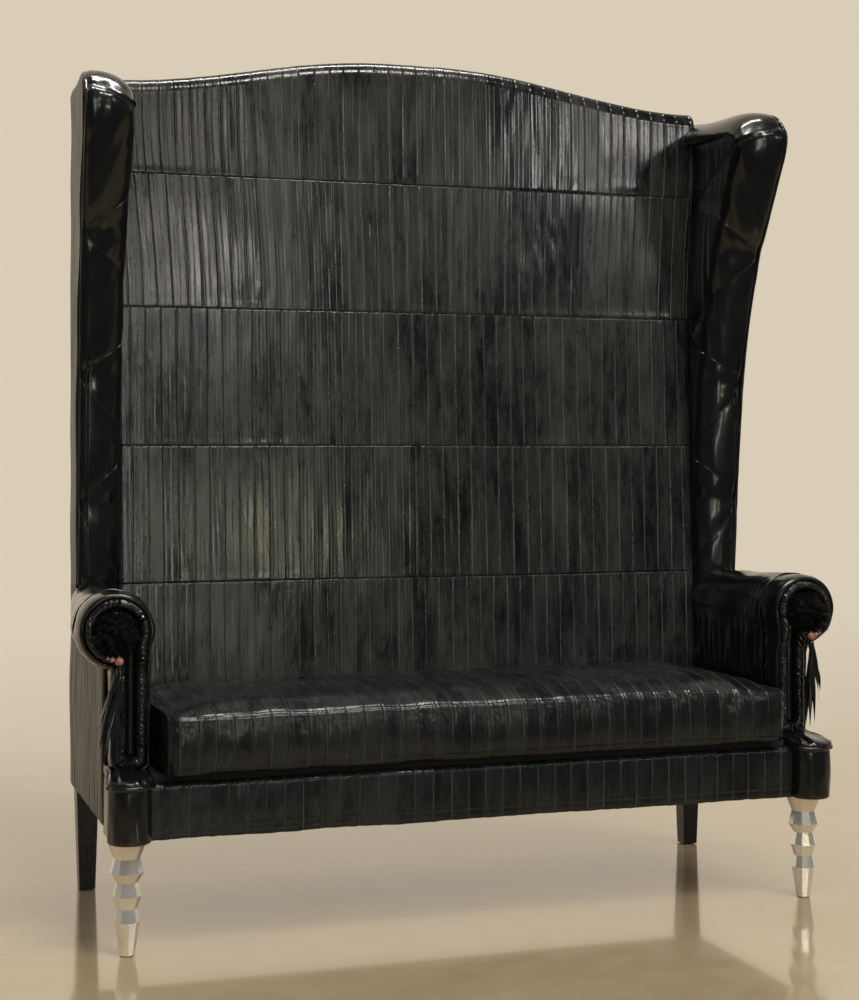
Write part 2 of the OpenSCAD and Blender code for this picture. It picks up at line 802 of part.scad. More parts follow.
module stem_plan(x0, x1, y0, y1, r) {
    translate([x0 + r, y0 + r]) circle(r, $fn = 48);
    translate([x1 - r, y0 + r]) circle(r, $fn = 48);
    translate([x0 + r, y0]) square([x1 - x0 - 2 * r, y1 - y0]);
    translate([x0, y0 + r]) square([x1 - x0, y1 - y0 - r]);
}

// Leather left standing round the facing: beside the scroll, beside the stem and below it
facing_rim = 6;
stem_rim = 10;
foot_rim = 14;

// The facing's outline in x and z: a circle in the scroll over a round-ended stem
module facing_outline(inset) {
    half = stem_w / 2 - stem_rim - inset;
    foot_z = shoulder_z + foot_rim + inset + half;
    translate([roll_x, roll_z]) circle(scroll_r - facing_rim - inset, $fn = 72);
    translate([stem_mid, foot_z]) circle(half, $fn = 48);
    translate([stem_mid - half, foot_z]) square([2 * half, roll_z - foot_z]);
}

module arm_front_right() {
    color(patent) difference() {
        union() {
            scroll_end();
            translate([0, 0, shoulder_z + gap]) linear_extrude(roll_z - shoulder_z - gap)
                stem_plan(arm_in, arm_in + stem_w, stem_y0, seam_y, stem_round);
        }
        along_y(scroll_y0 - over, recess_y) facing_outline(0);
        box(post_in - gap, post_out + gap, arm_post_y0 - gap, seam_y + over,
            0, board_z1 + gap);
        box(arm_in + stem_w, 2 * leg_x, arm_post_y0, seam_y + over, 0, roll_z - roll_r - 1);
    }
}

module arm_front_left() {
    mirror([1, 0, 0]) arm_front_right();
}

module facing_border_right() {
    color(patent) along_y(recess_y - gap - border_t, recess_y - gap) difference() {
        facing_outline(gap);
        facing_outline(border_w);
    }
}

module facing_border_left() {
    mirror([1, 0, 0]) facing_border_right();
}

module arm_facing_right() {
    color(patent) along_y(facing_y0, recess_y - gap) facing_outline(border_w + gap);
}

module arm_facing_left() {
    mirror([1, 0, 0]) arm_facing_right();
}

module outer_side_right() {
    x0 = post_out + gap;
    color(leather) difference() {
        box(x0, side_out, seam_y + gap, panel_y0, panel_bottom, side_top);
        intersection() {
            roll_cone(gap);
            box(0, 2 * leg_x, -2 * rear_reach, roll_end_y + gap, 0, 2 * roll_z);
        }
        box(0, 2 * leg_x, seam_y - over, roll_end_y + gap, roll_z, 2 * roll_z);
    }
}

module outer_side_left() {
    mirror([1, 0, 0]) outer_side_right();
}

// The round base below the arm with its glossy shoulder
base_y = leg_y - base_set;

// The base's outline: round in front, and reaching out to x1 from there to the arm's seam
module base_plan(r, front, x1) {
    translate([leg_x, front + r]) circle(r, $fn = 64);
    translate([leg_x - r, front + r]) square([x1 - leg_x + r, seam_y - front - r]);
}

// Half width of the shoulder where the stem stands on it
shoulder_core = 26;
// How far the shoulder's top reaches before the stem
shoulder_ledge = 6;
// Height of the rounding below the shoulder's widest line
lip_drop = 10;
// Share of the lip's radius that it keeps along the outer side
lip_side = 0.8;

// The shoulder shrinks upward from its lip to the foot of the stem
module shoulder() {
    layer = 0.2;
    rise = shoulder_z - lip_z;
    r = base_r + lip_out;
    reach = stem_y0 - shoulder_ledge - base_y + r;
    hull() {
        for (a = [-60 : 20 : 0]) let (w = base_r + lip_out * cos(a))
            translate([0, 0, lip_z + lip_drop * sin(a)]) linear_extrude(layer)
                base_plan(w, base_y - w, max(side_out, leg_x + w * lip_side));
        for (a = [15 : 15 : 90]) let (w = shoulder_core + (r - shoulder_core) * cos(a))
            translate([0, 0, lip_z + rise * sin(a) - layer]) linear_extrude(layer)
                base_plan(w, base_y - r + reach * (1 - cos(a)), leg_x + min(w, side_out - leg_x));
    }
}

module base_cover_right() {
    color(patent) difference() {
        union() {
            translate([0, 0, front_leg_h]) linear_extrude(lip_z - front_leg_h)
                base_plan(base_r, base_y - base_r, side_out);
            shoulder();
        }
        box(post_in - gap, post_out + gap, front_post_y0 - gap, seam_y + over, 0, deck_top + gap);
        box(post_in - gap, post_out + gap, arm_post_y0 - gap, seam_y + over, 0, shoulder_z + over);
        box(0, post_in - gap, front_rail_y0 - border_pad - over, seam_y + over, 0, deck_top + over);
        box(0, arm_in - gap, -rear_reach, seam_y + over, 0, 2 * shoulder_z);
    }
}

module base_cover_left() {
    mirror([1, 0, 0]) base_cover_right();
}

// The padded leather over the front rail, turned in over the rail's top and under its bottom
module front_border() {
    y0 = leg_y - border_front;
    y1 = deck_y0 - gap;
    inner = [front_rail_y0 - gap, rail_z0 - gap, rail_z1 + gap];
    r = min(border_top - inner[2], border_pad) - 1;
    color(leather) along_x(-post_in, post_in) polygon(concat(
        [[y0, front_leg_h]],
        [for (a = [180 : -15 : 90]) [y0 + r + r * cos(a), border_top - r + r * sin(a)]],
        [[y1, border_top], [y1, inner[2]], [inner[0], inner[2]], [inner[0], inner[1]],
            [y1, inner[1]], [y1, front_leg_h]]));
}

// A front leg: flat-sided cones stacked narrow end to narrow end, as [share of its height, radius]
leg_profile = [[0, leg_foot_r], [0.291, leg_low_r], [0.405, leg_neck_r], [0.515, leg_mid_r],
    [0.634, leg_neck_r], [0.7225, leg_ring_r], [0.846, leg_neck_r + 5], [1, leg_top_r]];

module front_leg_right() {
    turn = 180 / leg_sides;
    points = [for (p = leg_profile) [for (k = [0 : leg_sides - 1]) let (a = 360 * k / leg_sides + turn)
        [leg_x + p[1] * cos(a), leg_y - p[1] * sin(a), glide_t + p[0] * (front_leg_h - glide_t)]]];
    color(silver) difference() {
        polyhedron(flatten(points), skin_faces(len(leg_profile), leg_sides));
        bolt_hole(leg_x, leg_y, front_leg_h - bolt_down - 1, front_leg_h + over);
    }
}

module front_leg_left() {
    mirror([1, 0, 0]) front_leg_right();
}

module back_leg_right() {
    top = back_leg_top / 2;
    foot = back_leg_foot / 2;
    points = flatten([for (level = [[glide_t, foot], [back_leg_h, top]])
        [for (c = [[-1, -1], [-1, 1], [1, 1], [1, -1]])
            [leg_x + c[0] * level[1], back_leg_y + c[1] * level[1], level[0]]]]);
    color("#0a0a0b") difference() {
        polyhedron(points, skin_faces(2, 4));
        bolt_hole(leg_x, back_bolt_y, back_leg_h - bolt_down - 1, back_leg_h + over);
    }
}

module back_leg_left() {
    mirror([1, 0, 0]) back_leg_right();
}

module leg_plates() {
    color(steel) both_sides() {
        difference() {
            box(post_in, post_out, front_post_y0, front_post_y1, front_leg_h, front_post_z0);
            bolt_hole(leg_x, leg_y, front_leg_h - over, front_post_z0 + over);
        }
        difference() {
            box(post_in, post_out, back_post_y0, panel_y0, back_leg_h, rail_z0);
            bolt_hole(leg_x, back_bolt_y, back_leg_h - over, rail_z0 + over);
        }
    }
}

module leg_bolts() {
    color(steel) both_sides() {
        translate([leg_x, leg_y, front_leg_h - bolt_down])
            cylinder(h = bolt_down + bolt_up, r = bolt_r);
        translate([leg_x, back_bolt_y, back_leg_h - bolt_down])
            cylinder(h = bolt_down + bolt_up, r = bolt_r);
    }
}

module glides() {
    color("#1a1a1a") both_sides() {
        translate([leg_x, leg_y, 0]) cylinder(h = glide_t, r = leg_foot_r - 3);
        translate([leg_x, back_leg_y, 0]) cylinder(h = glide_t, r = back_leg_foot / 2 - 3);
    }
}

// The fur rosette in the scroll, on the facing: a foot inside the border and a dome before it
rosette_y1 = facing_y0 - gap;
rosette_foot = scroll_r - facing_rim - border_w - gap - 1;
dome_start = border_t - facing_t + 6;
dome_h = rosette_depth - dome_start;

module rosette_right() {
    color(fur) translate([roll_x, rosette_y1, roll_z]) rotate([90, 0, 0])
        rotate_extrude($fn = 64)
        polygon(concat([[0, 0], [rosette_foot, 0], [rosette_foot, dome_start - 4]],
            [for (a = [0 : 15 : 90]) [rosette_r * cos(a), dome_start + dome_h * sin(a)]]));
}

module rosette_left() {
    mirror([1, 0, 0]) rosette_right();
}

// How far the bead hangs behind the rosette's front
bead_set = 22;

// The bead below the rosette, hanging by a thread and pierced for the tassel's own
bead_y = rosette_y1 - rosette_depth + bead_set;
thread_r = 1;
dome_share = (rosette_y1 - bead_y - dome_start) / dome_h;
fur_z = roll_z - rosette_r * sqrt(1 - dome_share * dome_share);
bead_z = fur_z - 1.4 * bead_r;
// The tassel's thread ends inside the bead, in a hole flared for its sideways swing
tassel_top = bead_z - 0.6 * bead_r;
swing_room = 28;

module bead_right() {
    mouth = thread_r + gap + 0.1;
    color(bead_pink) translate([roll_x, bead_y, 0]) {
        difference() {
            translate([0, 0, bead_z]) sphere(bead_r, $fn = 40);
            translate([0, 0, tassel_top - bead_r])
                cylinder(h = bead_r, r1 = mouth + bead_r * tan(swing_room), r2 = mouth);
            translate([0, 0, tassel_top - 1]) cylinder(h = 1 + thread_r, r = mouth);
        }
        translate([0, 0, bead_z + bead_r * 0.8]) cylinder(h = bead_r * 0.6 - gap - 0.5, r = thread_r);
    }
}

module bead_left() {
    mirror([1, 0, 0]) bead_right();
}

// The tassel: tapering thongs one behind another, fanned out below a bound knot
knot_h = 14;
knot_r = 8;
knot_z = bead_z - bead_r - knot_h - 2;

module thong(length, width) {
    polygon([[-width * 0.3, 0], [width * 0.3, 0], [width * 0.5, -length * 0.35],
        [width * 0.42, -length * 0.7], [0, -length], [-width * 0.42, -length * 0.7],
        [-width * 0.5, -length * 0.35]]);
}

module tassel_right() {
    stack = knot_r * 2 - 3;
    color(fur) translate([roll_x, bead_y, 0]) {
        translate([0, 0, knot_z]) cylinder(h = knot_h, r = knot_r, $fn = 40);
        translate([0, 0, knot_z + knot_h])
            cylinder(h = tassel_top - knot_z - knot_h, r = thread_r);
        for (k = [0 : thong_count - 1])
            let (side = k - (thong_count - 1) / 2,
                y = -stack / 2 + (stack - thong_t) * k / (thong_count - 1),
                l = tassel_l - 14 * ((k * 3) % 4))
            translate([0, 0, knot_z + 4]) rotate([0, side * thong_spread * ((k % 2) * 2 - 1), 0])
                along_y(y, y + thong_t) thong(l, thong_w);
    }
}

module tassel_left() {
    mirror([1, 0, 0]) tassel_right();
}

module dust_cover() {
    t = 0.8;
    color(cloth) difference() {
        box(-post_out, post_out, front_rail_y1 - rail_t / 2, back_post_y0 + rail_t / 2,
            rail_z0 - t, rail_z0);
        both_sides() {
            box(post_in - 1, post_out + 1, -rear_reach, front_post_y1 + 1, 0, rail_z0 + 1);
            box(post_in - back_leg_top, post_out + 1, back_leg_y - back_leg_top / 2 - 1,
                rear_y, 0, rail_z0 + 1);
            box(post_in - 1, post_out + 1, back_post_y0 - 1, rear_y, 0, rail_z0 + 1);
        }
        box(-post_in, post_in, -rear_reach, deck_y0, 0, rail_z0 + 1);
    }
}

front_rail();
rear_rail();
side_rail_left();
side_rail_right();
seat_stretchers();
corner_blocks();
corner_screws();
front_post_left();
front_post_right();
arm_board_left();
arm_board_right();
back_post_left();
back_post_right();
crest_rail();
back_rails();
wing_frame_left();
wing_frame_right();
seat_webbing();
back_webbing();
seat_deck();
cushion_core();
cushion_cover();
cushion_zip_panel();
back_foam();
back_cover();
outer_back();
wing_cover_left();
wing_cover_right();
arm_pad_left();
arm_pad_right();
arm_front_left();
arm_front_right();
outer_side_left();
outer_side_right();
arm_facing_left();
arm_facing_right();
facing_border_left();
facing_border_right();
base_cover_left();
base_cover_right();
front_border();
front_leg_left();
front_leg_right();
back_leg_left();
back_leg_right();
leg_plates();
leg_bolts();
glides();
rosette_left();
rosette_right();
bead_left();
bead_right();
tassel_left();
tassel_right();
wing_piping_left();
wing_piping_right();
back_piping();
dust_cover();
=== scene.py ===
import math

import bpy
import numpy as np
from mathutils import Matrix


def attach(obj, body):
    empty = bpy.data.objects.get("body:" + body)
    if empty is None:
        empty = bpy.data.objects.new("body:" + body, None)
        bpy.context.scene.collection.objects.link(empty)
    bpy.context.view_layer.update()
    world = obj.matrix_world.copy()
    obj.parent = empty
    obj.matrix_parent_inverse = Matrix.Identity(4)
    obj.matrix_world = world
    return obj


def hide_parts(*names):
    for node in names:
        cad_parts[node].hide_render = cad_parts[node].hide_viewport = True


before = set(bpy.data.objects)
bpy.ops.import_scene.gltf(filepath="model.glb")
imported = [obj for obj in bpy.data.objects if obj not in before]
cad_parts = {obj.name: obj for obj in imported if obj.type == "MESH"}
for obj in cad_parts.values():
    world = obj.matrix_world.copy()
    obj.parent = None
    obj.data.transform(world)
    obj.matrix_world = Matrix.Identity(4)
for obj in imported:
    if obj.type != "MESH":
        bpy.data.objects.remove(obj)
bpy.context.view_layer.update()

# Datum lines of the solids, in metres
ARM_IN = 0.708
HALF_BACK = 0.7077
LEG_Y = -0.2635
PANEL_Y0 = 0.3275
SEAM_Y = -0.1775
STEM_Y = -0.2335
RECESS_Y = -0.2195
ROLL_X = 0.776
ROLL_Z = 0.642
ROLL_R = 0.076
ROLL_TAIL_R = 0.061
ROLL_END_Y = 0.1385
ROLL_TAIL = 0.189
STEM_MID = 0.747
DECK_Z = 0.357
SEAT_Z = 0.497
BACK_Y = 0.1665
CREST_Z = 1.918
CREST_END_Z = 1.842
WING_Z0 = 0.7003


def lerp(a, b, t):
    return a + (b - a) * t


def smooth(t):
    t = np.clip(t, 0.0, 1.0)
    return t * t * (3 - 2 * t)


def bell(d, width):
    return np.exp(-((d / width) ** 2))


def rough(points, size, seed, stretch=(1, 1, 1), waves=30):
    """Smooth noise, mostly within -1 and 1, whose bumps are about size metres apart."""
    rng = np.random.default_rng(seed)
    way = unit(rng.normal(size=(waves, points.shape[-1])))
    way *= (2 * np.pi / (size * rng.uniform(0.7, 1.6, waves)))[:, None]
    phase = rng.uniform(0, 2 * np.pi, waves)
    total = 0
    for k in range(waves):
        total = total + np.cos((points / np.array(stretch[: points.shape[-1]])) @ way[k] + phase[k])
    return total * 0.6 / math.sqrt(waves / 2)


def unit(v):
    return v / np.linalg.norm(v, axis=-1, keepdims=True)


def travel(p, axis=0):
    """Distance along a line, or along one way of a grid, from its start."""
    total = np.cumsum(np.linalg.norm(np.diff(p, axis=axis), axis=-1), axis=axis)
    return np.insert(total, 0, 0, axis=axis)


def pair(a, b):
    """Two arrays side by side, each spread to the other's shape."""
    return np.stack(np.broadcast_arrays(a, b), -1)


def shade_of(colour, share):
    return tuple(share * c for c in colour)


def normals(p, around=False):
    """Unit normals of a grid of points, from its rows and columns."""
    if around:
        across = np.roll(p, -1, axis=1) - np.roll(p, 1, axis=1)
    else:
        across = np.gradient(p, axis=1)
    along = np.gradient(p, axis=0)
    n = np.cross(across, along)
    return n / np.maximum(np.linalg.norm(n, axis=-1, keepdims=True), 1e-12)


def smooth_path(p, rounds, closed=False):
    for _ in range(rounds):
        if closed:
            p = 0.5 * p + 0.25 * (np.roll(p, 1, axis=0) + np.roll(p, -1, axis=0))
        else:
            q = p.copy()
            q[1:-1] = 0.5 * p[1:-1] + 0.25 * (p[:-2] + p[2:])
            p = q
    return p


def resample(p, count, closed=False):
    """The same line with evenly spaced points."""
    if closed:
        p = np.vstack([p, p[:1]])
    run = travel(p)
    at = np.linspace(0, run[-1], count + 1 if closed else count)
    out = np.stack([np.interp(at, run, p[:, k]) for k in range(p.shape[1])], axis=1)
    return out[:-1] if closed else out


def through(points, steps):
    """A smooth curve through points."""
    p = np.array(points, float)
    out = []
    for i in range(len(p) - 1):
        a, b, c, d = p[max(0, i - 1)], p[i], p[i + 1], p[min(len(p) - 1, i + 2)]
        for t in np.arange(steps) / steps:
            out.append(0.5 * (2 * b + (c - a) * t + (2 * a - 5 * b + 4 * c - d) * t * t
                              + (3 * b - a - 3 * c + d) * t ** 3))
    return np.array(out + [p[-1]])


def grid_faces(rows, cols, around=False, start=0):
    last = cols if around else cols - 1
    r, c = np.meshgrid(np.arange(rows - 1), np.arange(last), indexing="ij")
    d = (c + 1) % cols
    quads = np.stack([r * cols + c, r * cols + d, (r + 1) * cols + d, (r + 1) * cols + c], axis=-1)
    return quads.reshape(-1, 4) + start


class Shape:
    """Vertices, faces and strip coordinates that are gathered into one piece."""

    def __init__(self):
        self.verts, self.faces, self.uvs, self.count = [], [], [], 0

    def add(self, points, faces, uv=None):
        points = np.asarray(points, float).reshape(-1, 3)
        uv = np.zeros((len(points), 2)) if uv is None else np.asarray(uv, float).reshape(-1, 2)
        self.verts.append(points)
        self.uvs.append(uv)
        self.faces += [tuple(int(i) + self.count for i in f) for f in faces]
        self.count += len(points)

    def grid(self, points, uv=None, around=False, flip=False, ends=False):
        rows, cols = points.shape[:2]
        faces = grid_faces(rows, cols, around)
        first = tuple(range(self.count, self.count + cols))
        last = tuple(i + (rows - 1) * cols for i in first)
        self.add(points, faces[:, ::-1] if flip else faces, uv)
        if ends:
            self.faces += [first, last[::-1]] if flip else [first[::-1], last]

    def build(self, name, material, stands_for=(), depth=None, mirrored=None, body="sofa"):
        """Makes the piece, depth thick. mirrored is None in the middle, and else True on the left."""
        side = "" if mirrored is None else "_left" if mirrored else "_right"
        name += side
        verts = np.vstack(self.verts)
        faces = self.faces
        if mirrored:
            verts = verts * np.array([-1, 1, 1])
            faces = [f[::-1] for f in faces]
        mesh = bpy.data.meshes.new(name)
        mesh.from_pydata(verts.tolist(), [], faces)
        uvs = np.vstack(self.uvs)
        layer = mesh.uv_layers.new(name="strips")
        loops = np.empty(len(mesh.loops), dtype=np.int32)
        mesh.loops.foreach_get("vertex_index", loops)
        layer.data.foreach_set("uv", uvs[loops].astype(np.float32).ravel())
        mesh.polygons.foreach_set("use_smooth", [True] * len(mesh.polygons))
        mesh.materials.append(material)
        mesh.validate()
        obj = bpy.data.objects.new(name, mesh)
        bpy.context.scene.collection.objects.link(obj)
        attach(obj, body.format(side))
        if stands_for:
            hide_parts(*[node + side for node in stands_for])
        if depth is not None:
            thickness = obj.modifiers.new("thickness", "SOLIDIFY")
            thickness.thickness = depth
            thickness.offset = -1
        return obj


def skin(name, points, uv, material, stands_for, depth=None, mirrored=None, around=False,
         flip=False):
    """A piece of one grid of points."""
    shape = Shape()
    shape.grid(points, uv, around, flip)
    return shape.build(name, material, stands_for, depth, mirrored)


# Materials

class Nodes:
    """Short ways to add nodes to a tree."""

    def __init__(self, tree):
        self.tree = tree

    def node(self, kind, inputs=(), **fields):
        made = self.tree.nodes.new("ShaderNode" + kind)
        for key, value in fields.items():
            setattr(made, key, value)
        for key, value in dict(inputs).items():
            if isinstance(value, bpy.types.NodeSocket):
                self.tree.links.new(value, made.inputs[key])
            else:
                made.inputs[key].default_value = value
        return made

    def math(self, operation, a, b=0.5):
        return self.node("Math", {0: a, 1: b}, operation=operation).outputs[0]

    def place(self, scale=(1, 1, 1)):
        """Object coordinates, stretched by scale."""
        where = self.node("TexCoord").outputs["Object"]
        return self.node("Mapping", {"Vector": where, "Scale": scale}).outputs["Vector"]

    def noise(self, vector, scale, detail=3.0, roughness=0.5, distortion=0.0):
        made = self.node("TexNoise", {"Vector": vector, "Scale": scale, "Detail": detail,
                                      "Roughness": roughness, "Distortion": distortion})
        return made.outputs["Fac"]

    def spread(self, value, from_lo, from_hi, to_lo=0.0, to_hi=1.0):
        made = self.node("MapRange", {"Value": value, "From Min": from_lo, "From Max": from_hi,
                                      "To Min": to_lo, "To Max": to_hi})
        return made.outputs["Result"]

    def blend(self, share, a, b):
        a = a if isinstance(a, bpy.types.NodeSocket) else (*a, 1)
        b = b if isinstance(b, bpy.types.NodeSocket) else (*b, 1)
        made = self.node("Mix", data_type="RGBA")
        for index, value in ((0, share), (6, a), (7, b)):
            if isinstance(value, bpy.types.NodeSocket):
                self.tree.links.new(value, made.inputs[index])
            else:
                made.inputs[index].default_value = value
        return made.outputs[2]

    def bump(self, height, strength, distance, base=None):
        inputs = {"Height": height, "Strength": strength, "Distance": distance}
        if base is not None:
            inputs["Normal"] = base
        return self.node("Bump", inputs).outputs["Normal"]


class Graph(Nodes):
    """A material's tree."""

    def __init__(self, name, colour, roughness, **sockets):
        self.material = bpy.data.materials.new(name)
        self.material.use_nodes = True
        super().__init__(self.material.node_tree)
        self.shader = self.tree.nodes["Principled BSDF"]
        self.shader.inputs["Base Color"].default_value = (*colour, 1)
        self.shader.inputs["Roughness"].default_value = roughness
        for key, value in sockets.items():
            self.shader.inputs[key.replace("_", " ")].default_value = value

    def set(self, **sockets):
        for key, value in sockets.items():
            self.tree.links.new(value, self.shader.inputs[key.replace("_", " ")])
        return self.material


def strip_leather(name, dark, light, gloss, painted_seam_highlight, ribs=1.0, specular=0.5):
    """Narrow strips of ribbed glossy leather. u counts strips and v is metres along them."""
    g = Graph(name, dark, gloss, Specular_IOR_Level=specular)
    parts = g.node("SeparateXYZ", {0: g.node("UVMap", uv_map="strips").outputs[0]})
    u, v = parts.outputs[0], parts.outputs[1]
    strip = g.math("FLOOR", u)
    share = g.math("FRACT", u)
    tone = g.node("TexWhiteNoise", {"W": strip}, noise_dimensions="1D").outputs["Value"]
    away = g.math("MINIMUM", share, g.math("SUBTRACT", 1.0, share))
    seam = g.spread(away, 0.01, 0.035, 1.0, 0.0)
    spine = g.spread(g.math("ABSOLUTE", g.math("SUBTRACT", share, 0.5)), 0.0, 0.02, 1.0, 0.0)
    fine = g.node("CombineXYZ", {0: g.math("MULTIPLY", u, 11.0), 1: g.math("MULTIPLY", v, 34.0), 2: strip})
    coarse = g.node("CombineXYZ", {0: g.math("MULTIPLY", u, 1.6), 1: g.math("MULTIPLY", v, 9.0), 2: strip})
    fibre = g.noise(fine.outputs[0], 1.0, 6.0, 0.75, 0.3)
    cloud = g.noise(coarse.outputs[0], 1.0, 6.0, 0.7, 0.5)
    patch = g.noise(g.place((1, 1, 0.45)), 6.5, 6.0, 0.72, 0.4)
    shade = g.math("ADD", g.math("MULTIPLY", fibre, 0.55 * ribs), g.math("MULTIPLY", cloud, 0.8))
    shade = g.math("ADD", shade, g.math("MULTIPLY", tone, 0.14))
    shade = g.math("ADD", shade, g.math("MULTIPLY", g.math("SUBTRACT", patch, 0.5), 1.1))
    middle = 0.275 * ribs + 0.47
    colour = g.blend(g.spread(shade, middle - 0.2, middle + 0.2), dark, light)
    colour = g.blend(g.math("MULTIPLY", spine, 0.4), colour, shade_of(dark, 0.35))
    # Painted highlight: each seam gets a thin lighter grey line in the colour, as if its folded lip caught
    # the lamps.
    seam = g.math("MULTIPLY", seam, g.spread(g.noise(coarse.outputs[0], 0.9, 3.0, 0.6), 0.4, 0.62, 0.15, 1.0))
    colour = g.blend(g.math("MULTIPLY", seam, painted_seam_highlight), colour, (0.105, 0.108, 0.098))
    polish = g.spread(shade, middle - 0.25, middle + 0.25, gloss - 0.04, gloss + 0.10)
    grain = g.noise(g.place(), 420.0, 3.0, 0.6)
    normal = g.bump(g.math("ADD", fibre, g.math("MULTIPLY", spine, -0.3)), 0.8, 0.0001)
    normal = g.bump(grain, 0.12, 0.00022, normal)
    return g.set(Base_Color=colour, Roughness=polish, Normal=normal)


def patent_leather(name, colour, gloss, crinkle=0.25, scale=60.0):
    """Glossy black leather with fine creases."""
    g = Graph(name, colour, gloss, Coat_Weight=0.35, Coat_Roughness=0.1, Specular_IOR_Level=0.42)
    where = g.place()
    soft = g.noise(where, scale, 4.0, 0.55, 0.8)
    pores = g.noise(where, 900.0, 2.0, 0.5)
    worn = g.noise(where, 9.0, 4.0, 0.6)
    tint = g.blend(g.spread(worn, 0.4, 0.75), colour, shade_of(colour, 1.9))
    polish = g.spread(worn, 0.3, 0.8, gloss - 0.05, gloss + 0.09)
    normal = g.bump(soft, crinkle, 0.0012)
    normal = g.bump(pores, 0.06, 0.0002, normal)
    return g.set(Base_Color=tint, Roughness=polish, Normal=normal)


def wood(name, light, dark, scale, gloss=0.55):
    g = Graph(name, light, gloss)
    where = g.place(scale)
    rings = g.node("TexWave", {"Vector": where, "Scale": 14.0, "Distortion": 5.0, "Detail": 3.0})
    pores = g.noise(where, 90.0, 5.0, 0.7)
    share = g.math("MULTIPLY", rings.outputs["Fac"], g.spread(pores, 0.2, 0.8))
    normal = g.bump(pores, 0.25, 0.0005)
    return g.set(Base_Color=g.blend(share, light, dark), Normal=normal,
                 Roughness=g.spread(pores, 0.2, 0.8, gloss - 0.1, gloss + 0.12))


def woven(name, colour, other, scale, gloss=0.85):
    g = Graph(name, colour, gloss)
    where = g.place()
    warp, weft, over = (g.node("TexWave", {"Vector": where, "Scale": scale, "Distortion": 0.4},
                               bands_direction=way).outputs["Fac"] for way in "XYZ")
    cross = g.math("MAXIMUM", weft, over)
    mesh = g.math("MULTIPLY", warp, cross)
    fuzz = g.noise(where, 300.0, 3.0, 0.6)
    normal = g.bump(mesh, 0.5, 0.0006)
    return g.set(Base_Color=g.blend(g.math("MULTIPLY", mesh, fuzz), colour, other), Normal=normal,
                 Roughness=g.spread(fuzz, 0.2, 0.8, gloss - 0.1, min(1.0, gloss + 0.1)))


def metal(name, colour, gloss, marks=0.1, metallic=1.0):
    g = Graph(name, colour, gloss, Metallic=metallic)
    where = g.place()
    haze = g.noise(where, 45.0, 4.0, 0.6)
    scratch = g.noise(g.place((1, 1, 12)), 160.0, 3.0, 0.6)
    tint = g.blend(g.spread(haze, 0.35, 0.75), colour, shade_of(colour, 0.86))
    return g.set(Base_Color=tint, Normal=g.bump(scratch, marks, 0.0001),
                 Roughness=g.spread(haze, 0.3, 0.8, gloss * 0.7, gloss * 1.5))


def hair(name, dark, light):
    g = Graph(name, dark, 0.5, Sheen_Weight=0.04, Sheen_Roughness=0.4, Specular_IOR_Level=0.22)
    where = g.place()
    tone = g.noise(where, 70.0, 3.0, 0.6)
    return g.set(Base_Color=g.blend(g.spread(tone, 0.4, 0.8), dark, light),
                 Roughness=g.spread(tone, 0.3, 0.7, 0.38, 0.6))


def foamy(name, colour):
    g = Graph(name, colour, 0.9, Subsurface_Weight=0.1)
    cells = g.node("TexVoronoi", {"Vector": g.place(), "Scale": 700.0})
    tone = g.noise(g.place(), 30.0, 3.0)
    return g.set(Base_Color=g.blend(g.spread(tone, 0.3, 0.7), colour, shade_of(colour, 0.85)),
                 Normal=g.bump(cells.outputs["Distance"], 0.4, 0.0006))


PALE = (0.70, 0.61, 0.475)


def stone(name, colour, other):
    g = Graph(name, colour, 0.14, Specular_IOR_Level=0.8, Coat_Weight=0.8, Coat_Roughness=0.05)
    where = g.place()
    cloud = g.noise(where, 1.3, 6.0, 0.6, 1.5)
    grain = g.noise(where, 14.0, 4.0, 0.6)
    share = g.math("ADD", g.math("MULTIPLY", cloud, 0.8), g.math("MULTIPLY", grain, 0.25))
    across, depth = g.node("SeparateXYZ", {0: where}).outputs[:2]
    far = g.math("MAXIMUM", g.spread(depth, 1.2, 6.0), g.spread(depth, -1.4, -1.0, 1.0, 0.0))
    far = g.math("MAXIMUM", far, g.spread(g.math("ABSOLUTE", across), 4.5, 9.0))
    glow = g.node("Emission", {"Color": (*PALE, 1)})
    fade = g.node("MixShader", {0: g.math("MULTIPLY", far, g.node("LightPath").outputs["Is Camera Ray"]),
                                1: g.shader.outputs[0], 2: glow.outputs[0]})
    g.tree.links.new(fade.outputs[0], g.tree.nodes["Material Output"].inputs["Surface"])
    return g.set(Base_Color=g.blend(g.spread(share, 0.4, 0.75), colour, other),
                 Roughness=g.spread(grain, 0.3, 0.7, 0.10, 0.18))


STRIPS = strip_leather("strip_leather", (0.0030, 0.0040, 0.0040), (0.0300, 0.0310, 0.0290), 0.17, 0.24)
# The seat's copy of the strip leather has a darker light tone than the back's: painted shade on the cushion
# and the front rail.
SHADED_SEAT_STRIPS = strip_leather("shaded_seat_strip_leather", (0.0026, 0.0040, 0.0042), (0.0115, 0.0150, 0.0150),
                            0.24, 0.5, ribs=0.8, specular=0.4)
